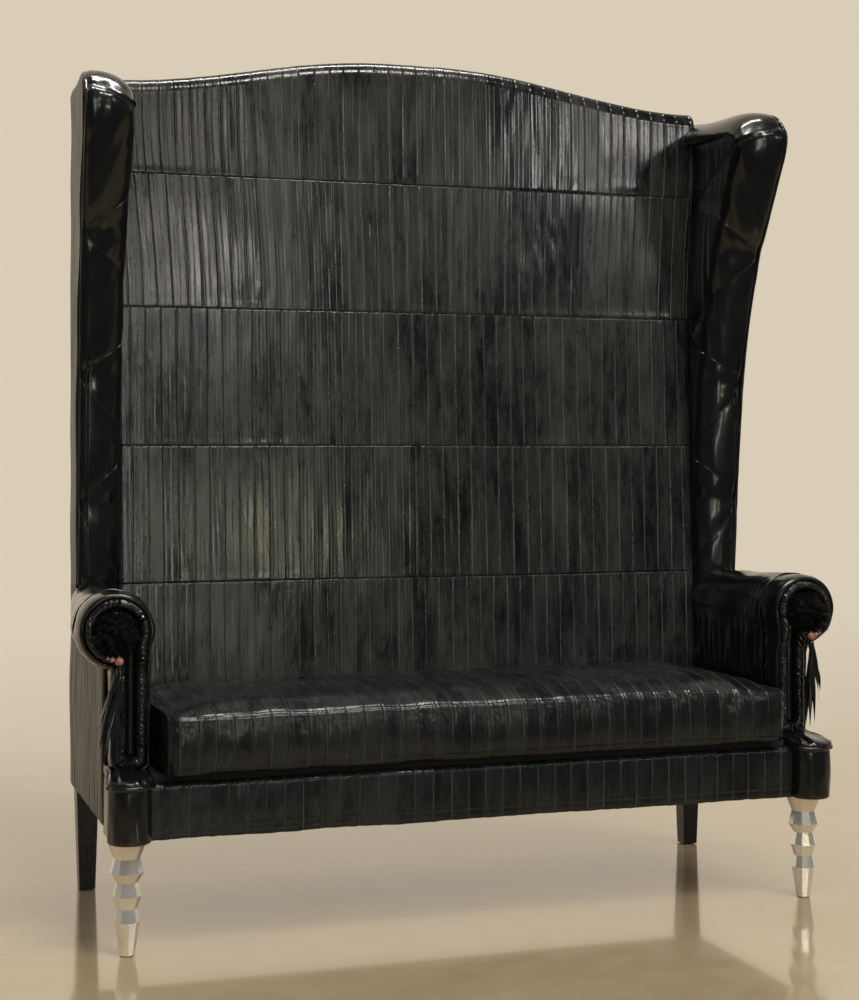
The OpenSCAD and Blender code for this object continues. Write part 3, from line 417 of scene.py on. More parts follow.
# The sides' copy of the strip leather has a darker light tone again: painted shade on the outer sides of the
# wings and arms.
SHADED_SIDE_STRIPS = strip_leather("shaded_side_strip_leather", (0.004, 0.005, 0.004), (0.017, 0.0175, 0.014), 0.3, 0.3,
                            specular=0.16)
PATENT = patent_leather("patent_leather", (0.0026, 0.0034, 0.0034), 0.22)
CRINKLED = patent_leather("crinkled_leather", (0.0034, 0.0038, 0.0038), 0.17, 0.9, 150.0)
PLAIN = patent_leather("plain_leather", (0.012, 0.0125, 0.012), 0.42, 0.3, 90.0)
CORD = patent_leather("piping_leather", (0.006, 0.006, 0.006), 0.22, 0.3, 200.0)
THONG = patent_leather("thong_leather", (0.003, 0.0035, 0.004), 0.15, 0.3, 120.0)
FUR = hair("black_fur", (0.0008, 0.0008, 0.0010), (0.0040, 0.0040, 0.0046))
SILVER = metal("polished_silver", (0.99, 0.96, 0.89), 0.14, metallic=0.76)
STEEL = metal("zinc_steel", (0.55, 0.56, 0.58), 0.35, 0.3)
BLACK_WOOD = wood("black_lacquer", (0.006, 0.006, 0.006), (0.011, 0.0105, 0.009), (3, 3, 0.4), 0.26)
TIMBER = wood("beech", (0.47, 0.3, 0.15), (0.3, 0.17, 0.075), (2, 2, 2))
PLYWOOD = wood("plywood", (0.55, 0.38, 0.2), (0.36, 0.22, 0.1), (14, 1, 1))
WEBBING = woven("jute_webbing", (0.3, 0.2, 0.09), (0.42, 0.3, 0.15), 220.0)
BLACK_CLOTH = woven("black_cloth", (0.012, 0.012, 0.014), (0.03, 0.03, 0.033), 380.0)
FOAM = foamy("foam", (0.72, 0.62, 0.4))
GLIDE = patent_leather("nylon_glide", (0.012, 0.012, 0.012), 0.45, 0.2, 300.0)


def bead_glass(name, colour, deep):
    g = Graph(name, colour, 0.16, Coat_Weight=0.6, Coat_Roughness=0.06, Subsurface_Weight=0.15)
    veins = g.noise(g.place(), 210.0, 4.0, 0.6, 1.0)
    return g.set(Base_Color=g.blend(g.spread(veins, 0.35, 0.75), colour, deep),
                 Roughness=g.spread(veins, 0.3, 0.7, 0.12, 0.24))


PINK_BEAD = bead_glass("pink_bead", (0.34, 0.15, 0.13), (0.2, 0.07, 0.06))
GREY_BEAD = bead_glass("grey_bead", (0.17, 0.13, 0.12), (0.06, 0.045, 0.045))


# Strips
PITCH = 0.039
BACK_PITCH = 0.0345


def strip_edges(lo, hi, pitch, seed, wander=0.07):
    """Where the seams between strips lie from lo to hi."""
    rng = np.random.default_rng(seed)
    edges = [lo]
    at = lo + pitch * rng.uniform(0.45, 0.95)
    while at < hi - 0.35 * pitch:
        edges.append(at)
        at += pitch * rng.uniform(1 - wander, 1 + wander)
    return edges + [hi]


def strip_columns(edges, first=0):
    """Columns over the strips: place, strip coordinate, and signed distance from the nearest seam."""
    at, u, off = [], [], []
    for k, (a, b) in enumerate(zip(edges, edges[1:])):
        w = b - a
        spots = [0, 0.0008, 0.002, 0.0045] + [w * s for s in (0.27, 0.4, 0.475, 0.5, 0.525, 0.6, 0.73)]
        spots += [w - 0.0045, w - 0.002, w - 0.0008]
        for s in spots:
            at.append(a + s)
            u.append(first + k + s / w)
            off.append(s if s < w / 2 else s - w)
    at.append(edges[-1])
    u.append(first + len(edges) - 1 - 1e-4)
    off.append(0.0)
    return np.array(at), np.array(u), np.array(off)


def strip_relief(off, u, lip=0.0004, depth=0.0007, pillow=0.00016):
    """Height of a strip over its width: a sewn groove, a folded lip, a soft crown and its own lean."""
    share = u - np.floor(u)
    lean = 0.00028 * np.sin(np.floor(u) * 2.4 + 0.6) * (share - 0.5)
    groove = -depth * bell(off, 0.0009)
    fold = lip * bell(off - 0.0022, 0.0013) + 0.4 * lip * bell(off + 0.0022, 0.0013)
    crown = pillow * (1 - (2 * share - 1) ** 2)
    spine = -0.00012 * bell(share - 0.5, 0.02)
    return groove + fold + crown + spine + lean


def spaced(lo, hi, step, fine=(0, 0.0012, 0.0026, 0.005, 0.01)):
    """Rows from lo to hi, closer together at both ends."""
    inner = np.linspace(lo + fine[-1], hi - fine[-1], max(3, int((hi - lo) / step)))
    return np.concatenate([[lo + f for f in fine[:-1]], inner, [hi - f for f in fine[-2::-1]]])


# The inner back

def crest(x):
    s = np.clip((np.abs(x) - 0.06) / 0.63, 0, 1)
    return CREST_END_Z + (CREST_Z - CREST_END_Z) * (0.5 + 0.5 * np.cos(np.pi * s))


def back_y(x, z):
    return BACK_Y + 0.049 * (z - SEAT_Z) - 0.010 * np.maximum(0, 1 - (x / ARM_IN) ** 2)


def splay(z):
    """How far the wings' inner faces and the back's ends lean outward at the top."""
    return 0.030 * smooth((z - 1.30) / 0.50)


BACK_SEAMS = [0.352, 0.705, 1.013, 1.325, 1.629]
NOSE_Y, NOSE_Z, CREST_FALL = 0.024, 0.036, 0.018


def back_leather():
    shape = Shape()
    for band, z0 in enumerate(BACK_SEAMS):
        edges = strip_edges(-HALF_BACK, HALF_BACK, BACK_PITCH, 40 + band)
        x, u, off = strip_columns(edges, 60 * band)
        top_band = band == len(BACK_SEAMS) - 1
        z1 = CREST_END_Z - NOSE_Z if top_band else BACK_SEAMS[band + 1]
        zs = spaced(z0, z1, 0.016)
        rise = (zs - z0) / (z1 - z0)
        zz = zs[:, None] + np.zeros_like(x)
        if top_band:
            zz = z0 + rise[:, None] * (crest(x) - NOSE_Z - z0)
        xx = x + 0.0009 * np.sin(zz * 9 + band * 2 + np.floor(u) * 1.7) * (np.abs(x) < HALF_BACK - 0.002)
        xx = xx * (1 + splay(zz) / HALF_BACK)
        yy = back_y(xx, zz)
        if top_band:
            angles = np.radians(np.arange(8, 91, 8))[:, None]
            nose_y = back_y(x, crest(x) - NOSE_Z)
            ny = nose_y + NOSE_Y * (1 - np.cos(angles))
            nz = crest(x) - NOSE_Z * (1 - np.sin(angles))
            fall = np.radians(np.arange(10, 91, 10))[:, None]
            peak = nose_y + NOSE_Y
            ry = peak + (PANEL_Y0 - 0.001 - peak) * np.sin(fall)
            rz = crest(x) - CREST_FALL * (1 - np.cos(fall))
            yy = np.vstack([yy, ny, ry])
            zz = np.vstack([zz, nz, rz])
            wide = x * (1 + splay(CREST_END_Z) / HALF_BACK)
            xx = np.vstack([xx, np.broadcast_to(wide, ny.shape), np.broadcast_to(wide, ry.shape)])
        p = np.stack([xx, yy, zz], axis=-1)
        run = travel(p)
        n = normals(p)
        up = run
        down = 9.0 if top_band else run[-1:] - run
        relief = strip_relief(off, u)[None, :] * smooth((up + 0.001) / 0.004)
        relief = relief - 0.0014 * bell(up, 0.0016) * (band > 0) - 0.0012 * bell(down, 0.0014)
        relief = relief + 0.0005 * bell(up - 0.0045, 0.0025) * (band > 0)
        relief += 0.0006 * rough(p, 0.30, 50 + band, (1, 1, 0.7)) * smooth(up / 0.02)
        relief += 0.00022 * rough(p, 0.045, 60 + band, (0.6, 1, 3.2))
        relief += 0.00004 * rough(np.stack([u * 0.035 + 0 * run, run], -1), 0.0075, 70 + band, (1, 14))
        rumple = smooth((rough(p, 0.22, 80 + band) - 0.4) / 0.6)
        relief += 0.0003 * rumple * rough(p, 0.022, 90 + band, (1, 1, 1.3))
        relief = relief - 0.004 * bell(HALF_BACK - np.abs(x), 0.005)
        q = p + n * relief[..., None]
        shape.grid(q, np.stack([u + np.zeros_like(run), run + 3.1 * band], -1))
    shape.build("back_leather", STRIPS, ["back_cover", "back_foam"], depth=0.004)


# The wings

def wing_edge():
    foot, nose = np.array([0.1405, WING_Z0]), np.array([-0.0945, 1.744])
    peak, end = np.array([0.1882, 1.815]), np.array([PANEL_Y0, 1.829])
    sweep = [(0, 0), (0.1, 0.29), (0.24, 0.53), (0.46, 0.71), (0.8, 0.88), (0.96, 0.955), (1, 1)]
    brow = [(0.04, 0.3), (0.13, 0.66), (0.36, 0.9), (1, 1)]
    points = [foot + np.array(s) * (nose - foot) for s in sweep]
    points += [nose + np.array(s) * (peak - nose) for s in brow] + [end]
    return through(points, 14)


WING_IN, WING_DEEP, WING_OUT = 0.079, 0.054, 0.021
# Usual width of the wing's leather, laid flat
WING_WIDE = 0.40
OUTER_TURNS = [1.775, 1.471, 1.163, 0.881]
INNER_TURNS = [1.60, 1.262, 0.99, 0.715]


def wing_x(share, y):
    return ARM_IN + share * (0.084 + 0.028 * (PANEL_Y0 - y) / 0.422)


def wing_lines():
    """The wing's edge in even steps with its inward normals, and the row at the nose."""
    edge = wing_edge()
    count = 350
    e = smooth_path(resample(edge, count), 6)
    t = unit(np.gradient(e, axis=0))
    inward = np.stack([t[:, 1], -t[:, 0]], axis=1)
    nose = int(np.argmin(e[:, 0]))
    return e, inward, nose


def scallop(z_label, strength):
    dip = np.zeros_like(z_label)
    for z in OUTER_TURNS:
        dip += bell(z_label - z, 0.026)
    return dip * strength


def on_grid(q, shares, share, row):
    """The point of grid q at a share of its width and a row between rows."""
    lo = int(np.clip(math.floor(row), 0, len(q) - 2))
    ends = []
    for r in (lo, lo + 1):
        ends.append([np.interp(share, shares[r], q[r, :, k]) for k in range(3)])
    return lerp(np.array(ends[0]), np.array(ends[1]), row - lo)


def wing_quilt(mirrored):
    seed = 200 if mirrored else 300
    e, inward, nose = wing_lines()
    rows = len(e)
    step = np.linalg.norm(e[1] - e[0])
    share = np.clip((np.arange(rows) - nose) / (rows - 1 - nose), 0, 1)
    rear_y = back_y(ARM_IN, e[:, 1]) + 0.012
    jy = np.where(np.arange(rows) <= nose, rear_y, np.maximum(rear_y[nose], e[:, 0]))
    jz = np.where(np.arange(rows) <= nose, e[:, 1], lerp(e[nose, 1], 1.785, share))
    label = e[:, 1].copy()
    label[nose:] = np.maximum.accumulate(label[nose:])
    e = e + inward * scallop(label, 0.005)[:, None]

    inner = np.linspace(0, 1, 52)
    arc_in = np.radians(np.linspace(0, 90, 22))[1:]
    flat = np.linspace(0, 1, 6)[1:]
    arc_out = np.radians(np.linspace(90, 14, 8))[1:]
    cols = []
    start = e + inward * WING_DEEP
    for s in inner:
        z = lerp(jz, start[:, 1], s)
        cols.append(np.stack([ARM_IN + splay(z) * (1 - s), lerp(jy, start[:, 0], s), z], -1))
    for a in arc_in:
        q = e + inward * (WING_DEEP * (1 - math.sin(a)))
        cols.append(np.stack([np.full(rows, ARM_IN + WING_IN * (1 - math.cos(a))), q[:, 0], q[:, 1]], -1))
    for s in flat:
        x0, x1 = ARM_IN + WING_IN, wing_x(1, e[:, 0]) - WING_OUT
        cols.append(np.stack([lerp(x0, x1, s), e[:, 0], e[:, 1]], -1))
    for a in arc_out:
        q = e + inward * (WING_OUT * (1 - math.sin(a)))
        cols.append(np.stack([wing_x(1, q[:, 0]) - WING_OUT * (1 - math.cos(a)), q[:, 0], q[:, 1]], -1))
    p = np.stack(cols, axis=1)

    # Rows that carry the wing down inside the arm
    depth = np.array([0.045, 0.03, 0.015])[:, None, None]
    below = p[:1] - depth * np.array([0, 0, 1.0]) + depth * np.array([0, 0.12, 0])
    p = np.vstack([below, p])
    label = np.concatenate([[label[0] - d for d in (0.045, 0.03, 0.015)], label])
    jlabel = np.concatenate([[jz[0] - d for d in (0.045, 0.03, 0.015)], jz])
    rows += 3
    nose += 3

    across = travel(p, 1)
    width = across[:, -1:]
    s = across / width
    r = np.arange(rows)[:, None] + np.zeros_like(s)
    along = r * step

    def row_at(labels, z):
        return float(np.interp(z, labels[: nose + 60], np.arange(nose + 60)))

    # Distance from the zigzag seams, on the unrolled leather
    turns = []
    for k, z in enumerate(OUTER_TURNS):
        turns += [(1.0, row_at(label, z)), (0.0, row_at(jlabel, INNER_TURNS[k]))]
    gap = np.full(s.shape, 9.0)
    tangent = np.zeros_like(s)
    for (s0, r0), (s1, r1) in zip(turns, turns[1:]):
        a = np.array([s0 * WING_WIDE, r0 * step])
        b = np.array([s1 * WING_WIDE, r1 * step])
        q = np.stack([s * WING_WIDE, along], -1)
        t = np.clip(((q - a) @ (b - a)) / ((b - a) @ (b - a)), 0, 1)
        bow = (0.10 if s1 > 0.5 else -0.03) * np.sin(np.pi * t) * (r0 - r1) * step
        d = np.linalg.norm(q - (a + t[..., None] * (b - a)) - bow[..., None] * np.array([0, 1.0]), axis=-1)
        tangent = np.where(d < gap, t * np.linalg.norm(b - a) + 3 * r0, tangent)
        gap = np.minimum(gap, d)
    wob = rough(p, 0.07, seed + 1)
    pad = 0.0026 * (1 - np.exp(-((gap / 0.030) ** 1.5)))
    groove = -0.0012 * bell(gap, 0.0045)
    pucker = bell(gap - 0.009, 0.010) * np.cos(2 * np.pi * tangent / 0.019 + 2.2 * wob)
    relief = pad + groove + 0.00022 * pucker
    for k, (s0, r0) in enumerate(turns):
        dx, dy = (s - s0) * WING_WIDE, along - r0 * step
        reach = np.hypot(dx, dy)
        angle = np.arctan2(dy, np.abs(dx) + 1e-6)
        power = 0.0012 if s0 > 0.5 else 0.0004
        folds = np.cos(9 * angle + k * 1.3 + 1.2 * rough(p, 0.05, seed + 10 + k))
        relief = relief + power * np.exp(-reach / 0.03) * smooth(reach / 0.012) * folds
    drape = np.stack([across, along], -1)
    cap = 1 - smooth((r - nose) / 30)
    relief = relief + 0.00045 * rough(drape, 0.030, seed + 3, (1, 12)) * cap
    relief = relief + 0.0010 * rough(drape, 0.20, seed + 5, (1, 2))
    fade = smooth(across / 0.02) * smooth((width - across) / 0.012 + 0.25)
    foot = smooth((along - 3 * step) / 0.03) * 0.8 + 0.2
    n = normals(p)
    q = p + n * (relief * fade * foot)[..., None]
    skin("wing_quilt", q, np.stack([across, along], -1), PATENT, ["wing_cover"],
         depth=0.003, mirrored=mirrored)
    welt = Shape()
    for k, ((s0, r0), (s1, r1)) in enumerate(zip(turns, turns[1:])):
        t = np.linspace(0.0, 1.0, 60)
        bow = (0.10 if s1 > 0.5 else -0.03) * np.sin(np.pi * t) * (r0 - r1)
        ss, rr = lerp(s0, s1, t), lerp(r0, r1, t) + bow
        keep = (ss * 0.9 > 0.02) & (ss < 0.985)
        line = np.array([on_grid(q, s, a, b) for a, b in zip(ss[keep], rr[keep])])
        add_tube(welt, smooth_path(line, 2), 0.0012, 8)
    welt.build("wing_welt", CORD, mirrored=mirrored)


def wing_side(mirrored):
    """The outer face of the wing, in strips, from the arm to the top."""
    e, inward, nose = wing_lines()
    e = e + inward * 0.0085
    edges = strip_edges(float(e[nose, 0]) + 0.0005, PANEL_Y0 - 0.0035, PITCH, 410 + mirrored, 0.05)
    y, u, off = strip_columns(edges)
    z = np.interp(y, e[nose:, 0], e[nose:, 1])
    low = np.where(y < e[0, 0], np.interp(-y, -e[: nose + 1, 0], e[: nose + 1, 1]), WING_Z0)
    t = np.linspace(0, 1, 90)[:, None]
    zz = low + t * (z - low)
    xx = wing_x(1, y) + np.zeros_like(zz)
    reach = np.minimum(zz - low, 9)
    border = np.minimum.reduce([np.abs(z - zz), np.where(y < e[0, 0], reach, 9), (PANEL_Y0 - y) + 0 * zz])
    p = np.stack([xx, y + np.zeros_like(zz), zz], -1)
    relief = strip_relief(off, u)[None, :] + 0.0015 * rough(p, 0.25, 420 + mirrored)
    relief = relief - 0.004 * bell(border, 0.007)
    q = p + np.array([1.0, 0, 0]) * relief[..., None]
    skin("wing_side", q, np.stack([u + np.zeros_like(zz), zz], -1), SHADED_SIDE_STRIPS, ["wing_cover"],
         depth=0.003, mirrored=mirrored, flip=True)


def tube(path, radius, around):
    """A round cord along path."""
    t = unit(np.gradient(path, axis=0))
    side = np.zeros_like(t)
    v = np.cross(t[0], [0.31, 0.42, 0.85])
    for i in range(len(t)):
        v = unit(v - (v @ t[i]) * t[i])
        side[i] = v
    up = np.cross(t, side)
    a = np.linspace(0, 2 * np.pi, around, endpoint=False)
    radius = np.broadcast_to(radius, (len(path),))
    ring = (np.cos(a)[None, :, None] * side[:, None] + np.sin(a)[None, :, None] * up[:, None])
    return path[:, None] + ring * radius[:, None, None]


def add_tube(shape, path, radius, around=12):
    p = tube(path, radius, around)
    shape.grid(p, pair(np.arange(around) / around, travel(path)[:, None]), around=True, ends=True)


def wing_cord(mirrored):
    e, inward, nose = wing_lines()
    label = e[:, 1].copy()
    label[nose:] = np.maximum.accumulate(label[nose:])
    e = e + inward * scallop(label, 0.005)[:, None]
    inset = WING_OUT - (WING_OUT + 0.0032) * math.cos(math.pi / 4)
    q = e + inward * inset
    path = np.stack([wing_x(1, q[:, 0]) - inset, q[:, 0], q[:, 1]], -1)[2:-1]
    path = smooth_path(path, 3)
    jitter = 1 + 0.06 * rough(path, 0.03, 430 + mirrored)
    shape = Shape()
    add_tube(shape, path, 0.0031 * jitter)
    shape.build("wing_cord", CORD, ["wing_piping"], mirrored=mirrored)


# The arms

def roll_radius(y):
    r = ROLL_R + (ROLL_TAIL_R - ROLL_R) * (y - SEAM_Y) / (ROLL_END_Y - SEAM_Y)
    return np.where(y > ROLL_END_Y, lerp(ROLL_TAIL_R, 0.050, (y - ROLL_END_Y) / ROLL_TAIL), r)


def arm_roll(mirrored):
    seed = 500 if mirrored else 600
    ys = np.concatenate([SEAM_Y + np.array([0.0004, 0.002, 0.004, 0.007, 0.011]),
                         np.linspace(SEAM_Y + 0.016, 0.3255, 100)])
    rows = []
    for y in ys:
        r = float(roll_radius(y))
        a_in = max(r, 0.0700)
        tail = smooth((y - SEAM_Y - 0.05) / 0.27)
        r_out = lerp(r, 0.038 if y < ROLL_END_Y else lerp(0.038, 0.016, (y - ROLL_END_Y) / ROLL_TAIL), tail)
        theta = math.acos(0.0682 / a_in)
        wall_top = ROLL_Z - r * math.sin(theta)
        wall = [(ARM_IN - 0.0002, z) for z in np.linspace(0.345, wall_top, 46)]
        ring = []
        for a in np.linspace(math.pi + theta, -math.radians(86), 78)[1:]:
            width = a_in if math.cos(a) < 0 else lerp(a_in, r_out, smooth(math.cos(a) * 2.2))
            ring.append((ROLL_X + width * math.cos(a), ROLL_Z + r * math.sin(a)))
        loop = smooth_path(np.array(wall + ring), 3)
        rows.append(np.column_stack([loop[:, 0], np.full(len(loop), y), loop[:, 1]]))
    p = np.array(rows)
    n = -normals(p)
    along = p[:, :, 1]
    across = travel(p, 1)
    from_seam = along - SEAM_Y
    wallness = smooth((ROLL_Z - 0.03 - p[..., 2]) / 0.05) * (p[..., 0] < 0.73)
    drape = np.stack([along, across], -1)
    relief = -0.002 * bell(from_seam, 0.003)
    relief = relief + 0.0015 * rough(drape, 0.09, seed + 1, (2.0, 1)) * smooth(from_seam / 0.03)
    relief = relief + 0.0026 * wallness * rough(drape, 0.045, seed + 2, (0.55, 3.5))
    relief = relief + 0.0006 * rough(drape, 0.017, seed + 3, (1, 2.2)) * (0.3 + bell(from_seam - 0.02, 0.04))
    crease = bell(across - across[:, 46:47], 0.008)
    relief = relief - 0.0022 * crease
    top = (p[..., 2] > 0.69) & (along > ROLL_END_Y + 0.002)
    relief = np.where(top, -0.001, relief)
    q = p + n * relief[..., None]
    q[..., 2] = np.where(along > ROLL_END_Y, np.minimum(q[..., 2], 0.7035), q[..., 2])
    skin("arm_roll", q, np.stack([along, across], -1), PATENT, ["arm_pad"],
         depth=0.003, mirrored=mirrored, flip=True)


# Points round an outline's circle
RING_ROWS = 150


def front_outline(radius, half, bottom, fillet_rounds):
    """A scroll's circle over an upright stem, as points in x and z from the outer corner round the
    scroll, down the inner side, along the bottom and up the outer side."""
    inner, outer = STEM_MID - half, STEM_MID + half
    outer_z = ROLL_Z - math.sqrt(max(radius ** 2 - (outer - ROLL_X) ** 2, 1e-9))
    a0 = math.atan2(outer_z - ROLL_Z, outer - ROLL_X)
    reach = min(0.999, (ROLL_X - inner) / radius)
    a1 = math.pi + math.acos(reach) * 0.9
    ring = [(ROLL_X + radius * math.cos(a), ROLL_Z + radius * math.sin(a))
            for a in np.linspace(a0, a1, RING_ROWS)]
    end_z = ring[-1][1]
    inner_side = [(inner, z) for z in np.linspace(end_z - 0.004, bottom + half * 0.6, 70)]
    base = [(STEM_MID - half * math.cos(a), bottom + half * 0.6 * (1 - math.sin(a)))
            for a in np.linspace(0, math.pi, 42)[1:-1]]
    outer_side = [(outer, z) for z in np.linspace(bottom + half * 0.6, outer_z - 0.002, 52)]
    return smooth_path(np.array(ring + inner_side + base + outer_side), fillet_rounds, closed=True)


def medial(outline):
    """The line each outline point shrinks towards: the scroll's centre, or the stem's middle."""
    z = outline[:, 1]
    mid = np.column_stack([np.full(len(z), STEM_MID), np.clip(z, 0.40, 0.60)])
    scroll = smooth((ROLL_Z + 0.02 - z) / -0.06)
    on_ring = (np.arange(len(z)) < RING_ROWS).astype(float)
    weight = np.maximum(on_ring * smooth((z - 0.585) / 0.03), scroll * on_ring)
    centre = np.array([ROLL_X, ROLL_Z])
    return mid * (1 - weight[:, None]) + centre * weight[:, None]


def front_face_y(z):
    """The face of the scroll stands further forward than the stem's."""
    return lerp(STEM_Y + 0.0005, STEM_Y - 0.0100, smooth((z - 0.545) / 0.035))


def arm_scroll(mirrored):
    seed = 700 if mirrored else 800
    outer = front_outline(0.0765, 0.039, 0.350, 8)
    rim = front_outline(0.0705, 0.0352, 0.356, 10)
    facing = front_outline(0.0680, 0.0332, 0.3595, 10)
    face = front_face_y(facing[:, 1])
    rings = []

    def ring(plan, y, out=0.0):
        way = outer - rim
        way = way / np.maximum(np.linalg.norm(way, axis=1, keepdims=True), 1e-9)
        q = plan + way * out
        rings.append(np.column_stack([q[:, 0], np.broadcast_to(y, len(q)), q[:, 1]]))

    back = SEAM_Y - 0.0004
    for share, out in ((0, -0.003), (0.03, 0), (0.1, 0.0008), (0.25, 0.0014), (0.4, 0.0016)):
        ring(outer, back + (face - back) * share, out)
    for a in np.radians(np.arange(8, 91, 9)):
        plan = outer + (rim - outer) * (1 - math.cos(a))
        ring(plan, lerp(back + (face - back) * 0.45, face, math.sin(a)), 0.0015 * math.cos(a))
    ring(lerp(rim, facing, 0.5), face + 0.0002)
    ring(facing, face + 0.0022)
    ring(facing, RECESS_Y - 0.0005)
    ring(lerp(facing, medial(facing), 0.25), RECESS_Y - 0.0003)
    p = np.array(rings)
    n = normals(p, around=True)
    run = travel(outer)
    drape = pair(p[..., 1], run[None, :])
    tuck = smooth((p[..., 1] - face[None, :] - 0.004) / 0.02)
    relief = 0.0011 * rough(p, 0.06, seed) + 0.0005 * tuck * rough(drape, 0.02, seed + 1, (2.5, 1))
    q = p - n * relief[..., None]
    skin("arm_scroll", q, pair(run[None, :], p[..., 1]), PATENT, ["arm_front"],
         depth=0.002, mirrored=mirrored, around=True, flip=True)


def scroll_gather(mirrored):
    """The gathered border between the scroll's rim and its facing."""
    seed = 900 if mirrored else 1000
    a = front_outline(0.0675, 0.0327, 0.3600, 10)
    b = front_outline(0.0440, 0.0100, 0.3860, 10)
    count = 900
    joined = resample(np.hstack([a, b]), count, closed=True)
    a, b = joined[:, :2], joined[:, 2:]
    mid = (a + b) / 2
    run = travel(mid)
    line = np.stack([run, 0 * run], -1)
    wave = rough(line, 0.0085, seed, waves=24) + 0.5 * rough(line, 0.0045, seed + 1, waves=24)
    z = mid[:, 1]
    calm = smooth((z - 0.440) / 0.02) * smooth((0.545 - z) / 0.03)
    outer_side = smooth((mid[:, 0] - 0.78) / 0.02) * (z > 0.58)
    bunch = 0.55 + 0.45 * rough(line, 0.045, seed + 2)
    power = (1 - 0.55 * calm) * (1 - 0.6 * outer_side) * bunch
    sweep = np.radians(np.linspace(0, 180, 13))
    rows = []
    for k, t in enumerate(sweep):
        plan = lerp(a, b, (1 - math.cos(t)) / 2)
        lean = rough(np.stack([run, np.full_like(run, k * 0.002)], -1), 0.011, seed + 3)
        height = 0.0205 * math.sin(t) ** 0.75
        height = height + math.sin(t) * 0.0046 * power * (0.8 * wave + 0.5 * lean)
        base = RECESS_Y - 0.0013
        y = base - height - math.sin(t) * (0.010 * smooth((z - 0.56) / 0.03))
        rows.append(np.column_stack([plan[:, 0], y, plan[:, 1]]))
    uv = pair(run[None, :], np.arange(len(sweep))[:, None] * 0.003)
    skin("scroll_gather", np.array(rows), uv, CRINKLED, ["facing_border"],
         depth=0.0015, mirrored=mirrored, around=True, flip=True)


def scroll_facing(mirrored):
    edge = front_outline(0.0438, 0.0098, 0.3863, 10)
    core = medial(edge)
    rows = []
    for s in np.linspace(0, 1, 12):
        plan = lerp(edge, core, s * 0.985)
        swell = 0.0075 * math.sin(math.pi / 2 * s) ** 0.6
        y = RECESS_Y - 0.0020 - swell - 0.004 * smooth((plan[:, 1] - 0.57) / 0.03)
        rows.append(np.column_stack([plan[:, 0], y, plan[:, 1]]))
    p = np.array(rows)
    seed = 1100 + mirrored
    p[..., 1] += 0.0006 * rough(p, 0.02, seed, (1, 1, 5)) * np.linspace(0, 1, 12)[:, None]
    skin("scroll_facing", p, p[..., [0, 2]], PATENT, ["arm_facing"],
         mirrored=mirrored, around=True, flip=True)


def side_strips(mirrored):
    """The outer side of the arm, tucked up under the roll."""
    edges = strip_edges(SEAM_Y + 0.0015, PANEL_Y0 - 0.001, PITCH, 1200 + mirrored, 0.05)
    y, u, off = strip_columns(edges)
    top = lerp(0.590, 0.699, smooth((y - ROLL_END_Y + 0.012) / 0.02))
    zs = np.concatenate([[0.2415, 0.243, 0.2455, 0.249, 0.254], np.linspace(0.262, 0.6, 50)])
    share = (zs - zs[0]) / (zs[-1] - zs[0])
    zz = zs[0] + share[:, None] * (top - zs[0])
    yy = y + 0.001 * np.sin(zz * 11 + np.floor(u))
    x = 0.7905 + 0.0 * zz
    p = np.stack([x, yy, zz], -1)
    relief = strip_relief(off, u)[None, :] - 0.004 * bell(zz - zs[0], 0.004)
    relief = relief + 0.0018 * rough(p, 0.3, 1210 + mirrored)
    relief = relief + 0.0006 * rough(p, 0.05, 1220 + mirrored, (1, 0.6, 3))
    relief = relief - 0.004 * bell(y - SEAM_Y, 0.006) - 0.003 * bell(PANEL_Y0 - y, 0.005)
    q = p + np.array([1.0, 0, 0]) * relief[..., None]
    skin("side_strips", q, np.stack([u + 0 * zz, zz], -1), SHADED_SIDE_STRIPS, ["outer_side"],
         depth=0.006, mirrored=mirrored, flip=True)


# The base below each arm

